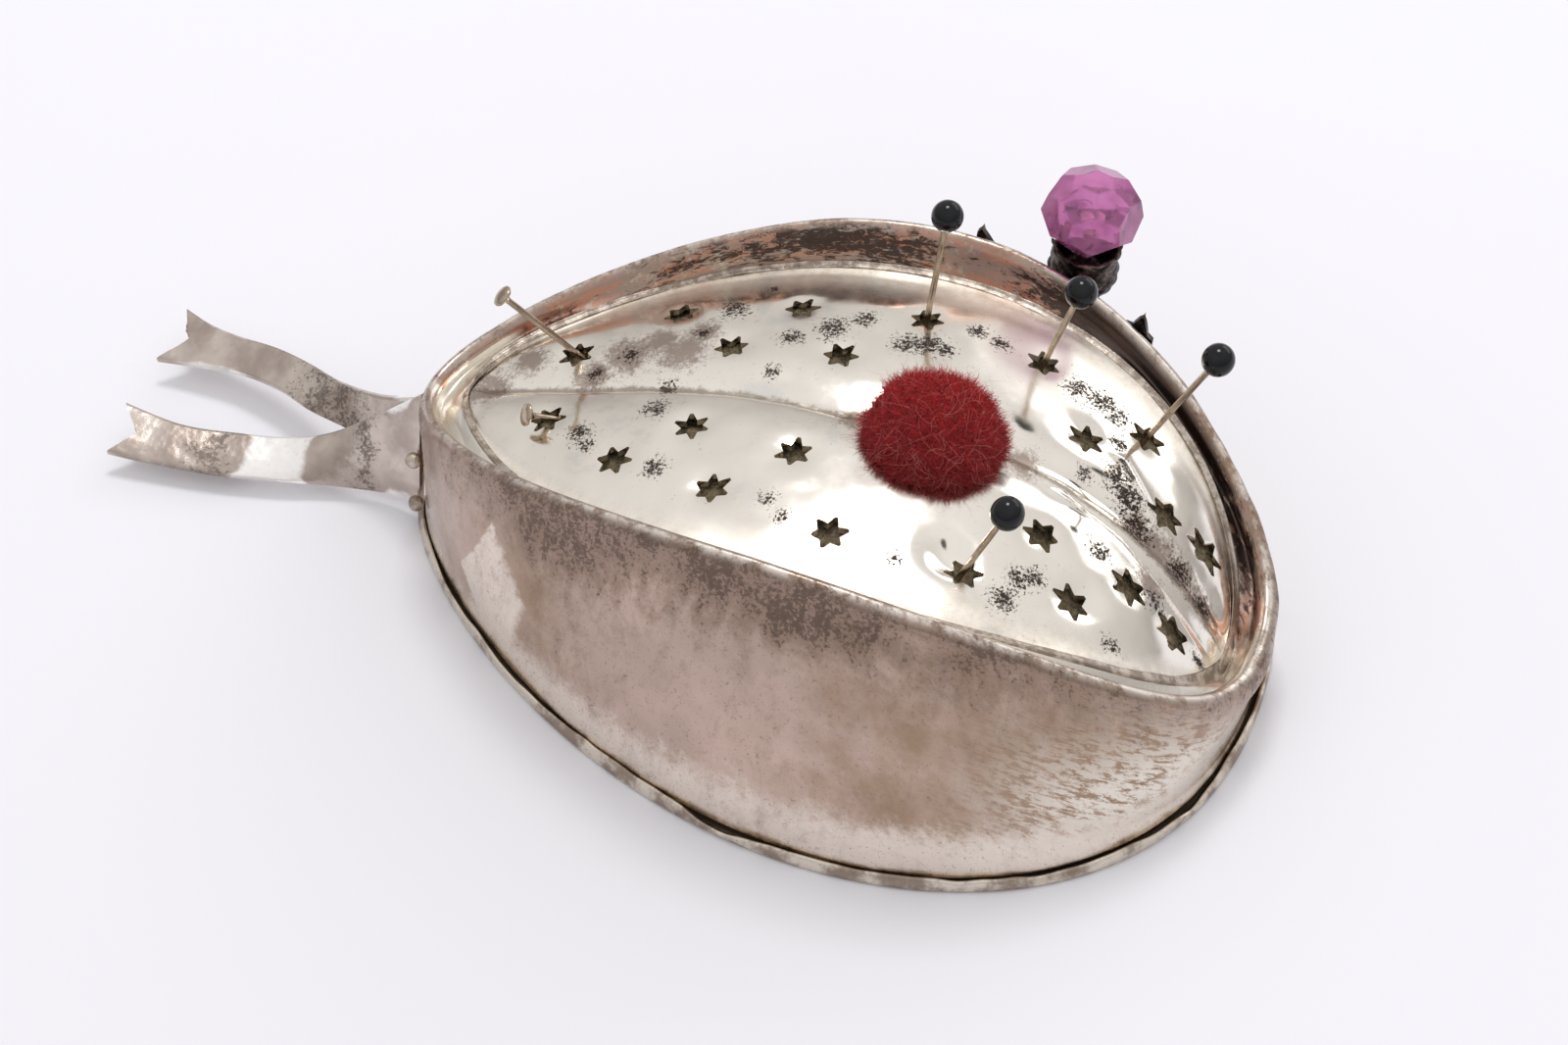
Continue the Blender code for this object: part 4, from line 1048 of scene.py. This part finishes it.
def build_flat_pin(number, steel):
    """A plain pin with a small flat head, all in steel."""
    axis = joint_axis("plain_pin_%d" % number)
    node = "flat_pin_%d" % number
    low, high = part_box(node)
    # The point and the head lie at opposite corners of the node's box.
    head = Vector([high[i] if axis[i] > 0 else low[i] for i in range(3)]) / MM
    inset = Vector([math.sqrt(max(0.0, 1.0 - axis[i] ** 2)) for i in range(3)])
    head -= Vector([math.copysign(inset[i], axis[i]) for i in range(3)])
    profile = pin_profile(-1.1) + [(0.36, -0.8), (0.62, -0.55), (0.93, -0.42), (1.0, -0.30),
                                   (0.98, -0.16), (0.8, -0.06), (0.4, -0.01), (0.0, 0.0)]

    def uneven(angle, height):
        return 1.0 - (height > -0.6) * 0.07 * np.cos(2.0 * angle + 0.6)
    piece = make_turned("plain_pin_steel_%d" % number, profile, 28, steel, head, axis, 60.0, uneven)
    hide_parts(node)
    return piece


# ================================================================ the thistle
# Root, middle and tip of each leaf's midrib on the wall, as x and height.
LEAVES = {
    "leaf_rear": ((13.6, 12.0), (9.0, 17.5), (6.1, 28.2)),
    "leaf_front": ((16.8, 12.0), (21.4, 15.0), (22.8, 24.2)),
}


def build_gem(material):
    """The cut glass flower: a solid bounded by flat facets, drawn in to a neck."""
    foot = node_centre("thistle_calyx")
    centre = node_centre("thistle_glass")
    axis = (centre - foot).normalized()
    low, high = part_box("thistle_glass")
    radius = (high.x - low.x) / 2 / MM
    middle = Vector((centre.x, centre.y, high.z / MM - radius * 0.97))
    builder = bmesh.new()
    bmesh.ops.create_cube(builder, size=4.0 * radius)
    cuts = [(90.0, 0.0, 0.90), (-90.0, 0.0, 1.16)]
    # Six broad facets around the flower, six smaller ones above them, and six that narrow to the neck.
    for elevation, offset, share in ((56.0, 0.0, 0.925), (12.0, 0.5, 0.93), (-38.0, 0.0, 0.86)):
        cuts += [(elevation, (side + offset) / 6 + 0.05, share) for side in range(6)]
    for elevation, turn, share in cuts:
        lift = math.radians(elevation)
        swing = math.tau * turn
        level = math.cos(lift)
        normal = Vector((level * math.cos(swing), level * math.sin(swing), math.sin(lift)))
        geometry = builder.verts[:] + builder.edges[:] + builder.faces[:]
        result = bmesh.ops.bisect_plane(builder, geom=geometry, plane_co=normal * radius * share,
                                        plane_no=normal, clear_outer=True)
        edges = [item for item in result["geom_cut"] if isinstance(item, bmesh.types.BMEdge)]
        if edges:
            bmesh.ops.edgeloop_fill(builder, edges=edges)
    bmesh.ops.bevel(builder, geom=builder.edges[:], offset=0.06, segments=2, affect="EDGES")
    turn = Vector((0, 0, 1)).rotation_difference(axis).to_matrix().to_4x4()
    bmesh.ops.transform(builder, matrix=Matrix.Translation(middle) @ turn, verts=builder.verts)
    builder.verts.ensure_lookup_table()
    points = [tuple(vertex.co) for vertex in builder.verts]
    builder.verts.index_update()
    faces = [[vertex.index for vertex in face.verts] for face in builder.faces]
    builder.free()
    piece = make_piece("amethyst_flower", points, faces, material, 8.0)
    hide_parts("thistle_glass")
    return piece


def build_calyx(material):
    """The thistle's cup, covered in overlapping scales."""
    low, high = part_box("thistle_calyx")
    centre = (low + high) / 2 / MM
    axis = (node_centre("thistle_glass") - centre).normalized()
    half = (high.z - low.z) / 2 / MM - 0.35
    outline = np.array([[(1.3, -1.0), (2.3, -0.82), (3.1, -0.45), (3.3, -0.05), (3.1, 0.35), (3.15, 0.7),
                         (3.3, 0.93), (3.15, 1.0), (2.8, 0.9), (2.4, 0.55), (2.1, -0.2), (1.2, -0.3)]])
    outline *= (1.0, half)
    smooth = curve_through(np.moveaxis(outline, 0, 1), 6, closed=False)[:, 0]
    profile = [(0.0, -half)] + [tuple(point) for point in smooth] + [(0.0, -0.3 * half)]

    def scales(angle, height):
        along = height / half
        lattice = np.abs(np.sin(5.0 * angle + 6.0 * along)) * np.abs(np.sin(5.0 * angle - 6.0 * along))
        return 1.0 + 0.07 * (lattice ** 0.6 - 0.4) * (along > -0.95)
    piece = make_turned("thistle_cup", profile, 120, material, centre, axis, 40.0, scales)
    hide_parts("thistle_calyx")
    return piece


def wall_half_width(x, z):
    """Half width of the wall's outer face at one height."""
    u = np.clip((x - RIM_OVAL[0]) / RIM_OVAL[1], -1.0, 1.0)
    rise = np.clip((z - WALL_LOW) / (rim_height(u) - 2.2 - WALL_LOW), 0.0, 1.0)
    foot = oval_half_width(BASE_OVAL, x, WALL_FOOT_INSET)
    top = oval_half_width(RIM_OVAL, x, -RIM_ROUND)
    return foot + (top - foot) * rise ** WALL_CURVE


def build_leaf(node, root, middle, tip, material):
    """A toothed thistle leaf with a raised midrib, lying close to the wall."""
    along = np.linspace(0.0, 1.0, 90)[:, None]
    share = np.linspace(-1.0, 1.0, 25)[None, :]
    root, middle, tip = (np.array(point) for point in (root, middle, tip))
    spine = root * (1 - along) ** 2 + middle * 2 * along * (1 - along) + tip * along ** 2
    heading = 2 * (1 - along) * (middle - root) + 2 * along * (tip - middle)
    heading /= np.linalg.norm(heading, axis=1, keepdims=True)
    teeth = 0.6 + 0.4 * ((along * 3.0 + 0.25) % 1.0)
    half_width = 2.5 * np.sin(math.pi * (0.12 + 0.78 * along)) ** 0.75 * teeth
    half_width *= np.sqrt(np.clip((1.02 - along) / 0.10, 0.04, 1.0))
    x = spine[:, :1] - heading[:, 1:] * half_width * share
    z = spine[:, 1:] + heading[:, :1] * half_width * share
    y = wall_half_width(x, z) + 0.95 + 0.45 * (1 - np.abs(share)) * along
    ridge = 0.28 * np.exp(-((share / 0.16) ** 2)) + 0.08 * np.abs(np.sin(9.0 * share + 14.0 * along))
    front = np.stack([x, y + 0.38 + ridge, z], -1)
    back = np.stack([x, y - 0.1, z], -1)
    piece = make_slab(node + "_blade", front, back, material, 50.0)
    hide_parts(node)
    return piece


def build_stem(material):
    """The thistle's ribbed stem on the wall."""
    low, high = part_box("thistle_stem")
    top = Vector((15.2, 27.9, high.z / MM))
    foot = Vector((14.6, 30.5, low.z / MM))
    angles = around(40)
    rows = []
    for step in range(41):
        along = step / 40
        middle = foot.lerp(top, along)
        middle.y += 0.5 * math.sin(math.pi * along)
        radius = 0.88 * (0.65 + 0.35 * along) * (1.0 + 0.07 * np.cos(6 * angles + 3.0 * along))
        radius = radius * (0.86 if step in (0, 40) else 1.0)
        rows.append(np.stack([middle.x + radius * np.cos(angles), middle.y + radius * np.sin(angles),
                              np.full(40, middle.z)], 1))
    points = np.array(rows)
    faces = grid_faces(41, 40, wrap_columns=True)
    faces += [list(range(40))[::-1], [40 * 40 + j for j in range(40)]]
    piece = make_piece("thistle_stalk", points, faces, material, 50.0)
    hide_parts("thistle_stem")
    return piece


# ================================================================ the ribbons
TAIL_NOTCH = 2.3           # depth of the swallow tail
TAIL_ROWS = 16             # rows of the strip that the notch pulls back

# Lower and upper edge of each ribbon, from the cap to the tail's end.
RIBBONS = {
    "ribbon_near": (
        ((-40.9, -1.6, 2.4), (-45.5, -1.0, 1.5), (-50.1, -1.7, 1.4), (-54.6, -3.2, 1.7),
         (-58.3, -4.1, 1.8), (-63.1, -4.9, 1.9), (-68.1, -5.4, 2.0), (-72.4, -5.7, 2.2)),
        ((-40.5, 0.0, 15.4), (-44.2, 0.9, 11.5), (-48.0, 1.3, 7.8), (-52.0, 1.2, 4.8),
         (-55.9, 0.6, 3.6), (-60.5, 0.0, 3.2), (-66.5, -0.8, 3.2), (-72.8, -0.2, 3.6)),
    ),
    "ribbon_far": (
        ((-40.9, 1.1, 3.4), (-46.8, 2.0, 5.0), (-51.0, 3.0, 4.7), (-55.3, 4.3, 4.4),
         (-59.5, 6.3, 4.0), (-64.3, 7.6, 3.4), (-68.6, 7.7, 2.9), (-73.2, 7.5, 2.5)),
        ((-40.5, 2.7, 12.8), (-46.2, 3.6, 9.8), (-52.4, 6.1, 7.4), (-56.8, 8.6, 6.2),
         (-61.1, 10.3, 5.3), (-65.7, 11.3, 4.6), (-69.2, 12.3, 4.1), (-72.7, 14.0, 3.6)),
    ),
}


def build_ribbon(node, lower, upper, material):
    """A bent strip of sheet with rounded edges, its end cut to a swallow tail."""
    edges = np.array([lower, upper]).transpose(1, 0, 2)
    rows = curve_through(edges, 16, closed=False)
    columns = 33
    share = np.linspace(0.0, 1.0, columns)
    middle = rows[:, :1] * (1 - share[None, :, None]) + rows[:, 1:] * share[None, :, None]
    ahead = rows[-12] - rows[-1]
    back_step = ahead.sum(0) / np.linalg.norm(ahead.sum(0))
    # The notch pulls the last rows back, most at the middle of the strip.
    fade = np.clip(1.0 - (len(rows) - 1 - np.arange(len(rows))) / TAIL_ROWS, 0.0, 1.0)[:, None] ** 1.5
    notch = TAIL_NOTCH * (1.0 - np.abs(2.0 * share - 1.0))[None, :] * fade
    middle = middle + back_step * notch[..., None]
    along = np.gradient(middle, axis=0)
    across = np.gradient(middle, axis=1)
    normal = np.cross(along, across)
    normal /= np.linalg.norm(normal, axis=-1, keepdims=True)
    dish = 0.22 * (1.0 - (2.0 * share - 1.0) ** 2)[None, :] + 0.12 * wander(middle, 5.0, 71)
    middle = middle - normal * (dish * 0.6)[..., None]
    half = RIBBON_THICK / 2 * (1.0 - np.clip(np.abs(2.0 * share - 1.0) - 0.93, 0.0, 1.0) / 0.07 * 0.25)
    half = half[None, :, None]
    piece = make_slab(node + "_strip", middle + normal * half, middle - normal * half, material, 50.0)
    near = node == "ribbon_near"
    # Smudges, and painted shade where the near ribbon twists at its root and where the ribbons cross.
    smudge_at, smudge_reach, bright_at = (-62.5, 3.4, -56.2) if near else (-53.5, 6.0, -67.0)
    shade = 0.95 if near else 0.2
    paint(piece, "smudge_and_shade", lambda p: np.exp(-((p[:, 0] - smudge_at) / smudge_reach) ** 2)
          + shade * np.exp(-((p[:, 0] + 47.2) / 2.2) ** 2))
    # Painted highlights: a band where the strip bends, a lit facet at the root, and edges lighter with wear
    # and highlight.
    rim = np.maximum(0.0, np.abs(2.0 * share - 1.0) - 0.80)[None, :] / 0.20 * np.ones(middle.shape[:2])
    band = (0.95 if near else 0.30) * np.exp(-((middle[..., 0] - bright_at) / 3.4) ** 6)
    band += 0.42 * np.exp(-((middle[..., 0] + 43.4) / 1.7) ** 4)
    store(piece, "bright", np.tile(np.clip(0.45 * rim + band, 0.0, 1.0).ravel(), 2))
    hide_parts(node)
    return piece


def build_blob(node, material, seed):
    """A frozen drop of solder."""
    low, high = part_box(node)
    centre = (low + high) / 2 / MM
    radius = (high.x - low.x) / 2 / MM

    def lumpy(angle, height):
        return 1.0 - 0.12 * np.abs(np.sin(1.5 * angle + seed)) * (1.0 - np.abs(height / radius))
    profile = ball_profile(radius, 18)
    piece = make_turned(node + "_drop", profile, 32, material, centre, (0, 0, 1), 180.0, lumpy)
    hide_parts(node)
    return piece


# ================================================================ stage
def build_camera():
    lift = math.radians(CAMERA_ELEVATION)
    swing = math.radians(CAMERA_AZIMUTH)
    away = Vector((math.sin(swing) * math.cos(lift), -math.cos(swing) * math.cos(lift), math.sin(lift)))
    data = bpy.data.cameras.new("camera")
    data.lens = LENS
    data.sensor_width = SENSOR_WIDTH
    data.clip_start = 0.01
    camera = bpy.data.objects.new("camera", data)
    bpy.context.scene.collection.objects.link(camera)
    camera.location = away * CAMERA_DISTANCE * MM
    aim = Vector(CAMERA_AIM) * MM - camera.location
    camera.rotation_euler = aim.to_track_quat("-Z", "Y").to_euler()
    bpy.context.scene.camera = camera


def add_softbox(name, place, size, power, colour):
    """A rectangular light that faces the origin; place and size are in metres."""
    data = bpy.data.lights.new(name, "AREA")
    data.shape = "RECTANGLE"
    data.size, data.size_y = size
    data.energy = power
    data.color = colour
    light = bpy.data.objects.new(name, data)
    bpy.context.scene.collection.objects.link(light)
    light.location = place
    light.rotation_euler = (-Vector(place)).to_track_quat("-Z", "Y").to_euler()


def build_stage():
    """A pale table in a bright room, with one small soft box overhead and a large one behind."""
    bpy.ops.mesh.primitive_plane_add(size=TABLE_SIZE)
    table = bpy.context.object
    table.name = "table"
    table.data.materials.append(table_look())
    world = bpy.data.worlds.new("room")
    bpy.context.scene.world = world
    world.use_nodes = True
    tree = world.node_tree
    place = tree.nodes.new("ShaderNodeTexCoord").outputs["Generated"]
    split = tree.nodes.new("ShaderNodeSeparateXYZ")
    tree.links.new(place, split.inputs[0])
    ramp = tree.nodes.new("ShaderNodeValToRGB")
    tree.links.new(split.outputs["Z"], ramp.inputs[0])
    stops = ramp.color_ramp.elements
    stops.remove(stops[1])
    for number, (share, colour) in enumerate(ROOM):
        stop = stops[0] if number == 0 else stops.new(share)
        stop.position = share
        stop.color = (*colour, 1.0)
    tree.links.new(ramp.outputs[0], tree.nodes["Background"].inputs["Color"])
    add_softbox("overhead_box", (-0.08, 0.26, 0.74), (0.20, 0.20), OVERHEAD_POWER, (1.0, 0.99, 0.98))
    add_softbox("back_box", (0.5, 1.1, 0.55), (1.0, 0.5), BACK_POWER, (0.98, 0.99, 1.0))
    settings = bpy.context.scene.view_settings
    settings.view_transform = "Standard"
    settings.exposure = 0.0


# ================================================================ assembly
def main():
    build_camera()
    build_stage()
    wall = wall_look()
    crown = crown_look()
    solder = solder_look()
    dark = dark_look()
    steel = steel_look()
    black = black_glass_look()
    silver_ribbon = ribbon_look()

    cap = []
    for node, piece in (("side_wall", build_wall(wall)),
                        ("crown", build_crown(crown)),
                        ("crown_solder", build_crown_solder(solder)),
                        ("base_plate", build_base(plate_look())),
                        ("stuffing", build_stuffing(wool_look()))):
        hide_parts(node)
        cap.append(piece)
    ball, fibres = build_toorie(felt_look(), fibre_look())
    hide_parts("toorie")
    cap += [ball, fibres]
    cap += [build_gem(amethyst_look()), build_calyx(dark), build_stem(dark)]
    for node, midrib in LEAVES.items():
        cap.append(build_leaf(node, *midrib, dark))
    for node, (lower, upper) in RIBBONS.items():
        cap.append(build_ribbon(node, lower, upper, silver_ribbon))
    cap.append(build_blob("solder_blob_upper", solder, 1.0))
    cap.append(build_blob("solder_blob_lower", solder, 2.0))
    for piece in cap:
        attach(piece, "cap")
    for number in (1, 2, 3, 4):
        for piece in build_glass_pin(number, steel, black):
            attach(piece, "glass_pin_%d" % number)
    for number in (1, 2):
        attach(build_flat_pin(number, steel), "plain_pin_%d" % number)
    hidden = (("toorie_stitch", thread_look()), ("toorie_washer", dark), ("glass_peg", solder))
    for node, material in hidden:
        frame["nodes"][node].data.materials.clear()
        frame["nodes"][node].data.materials.append(material)


main()
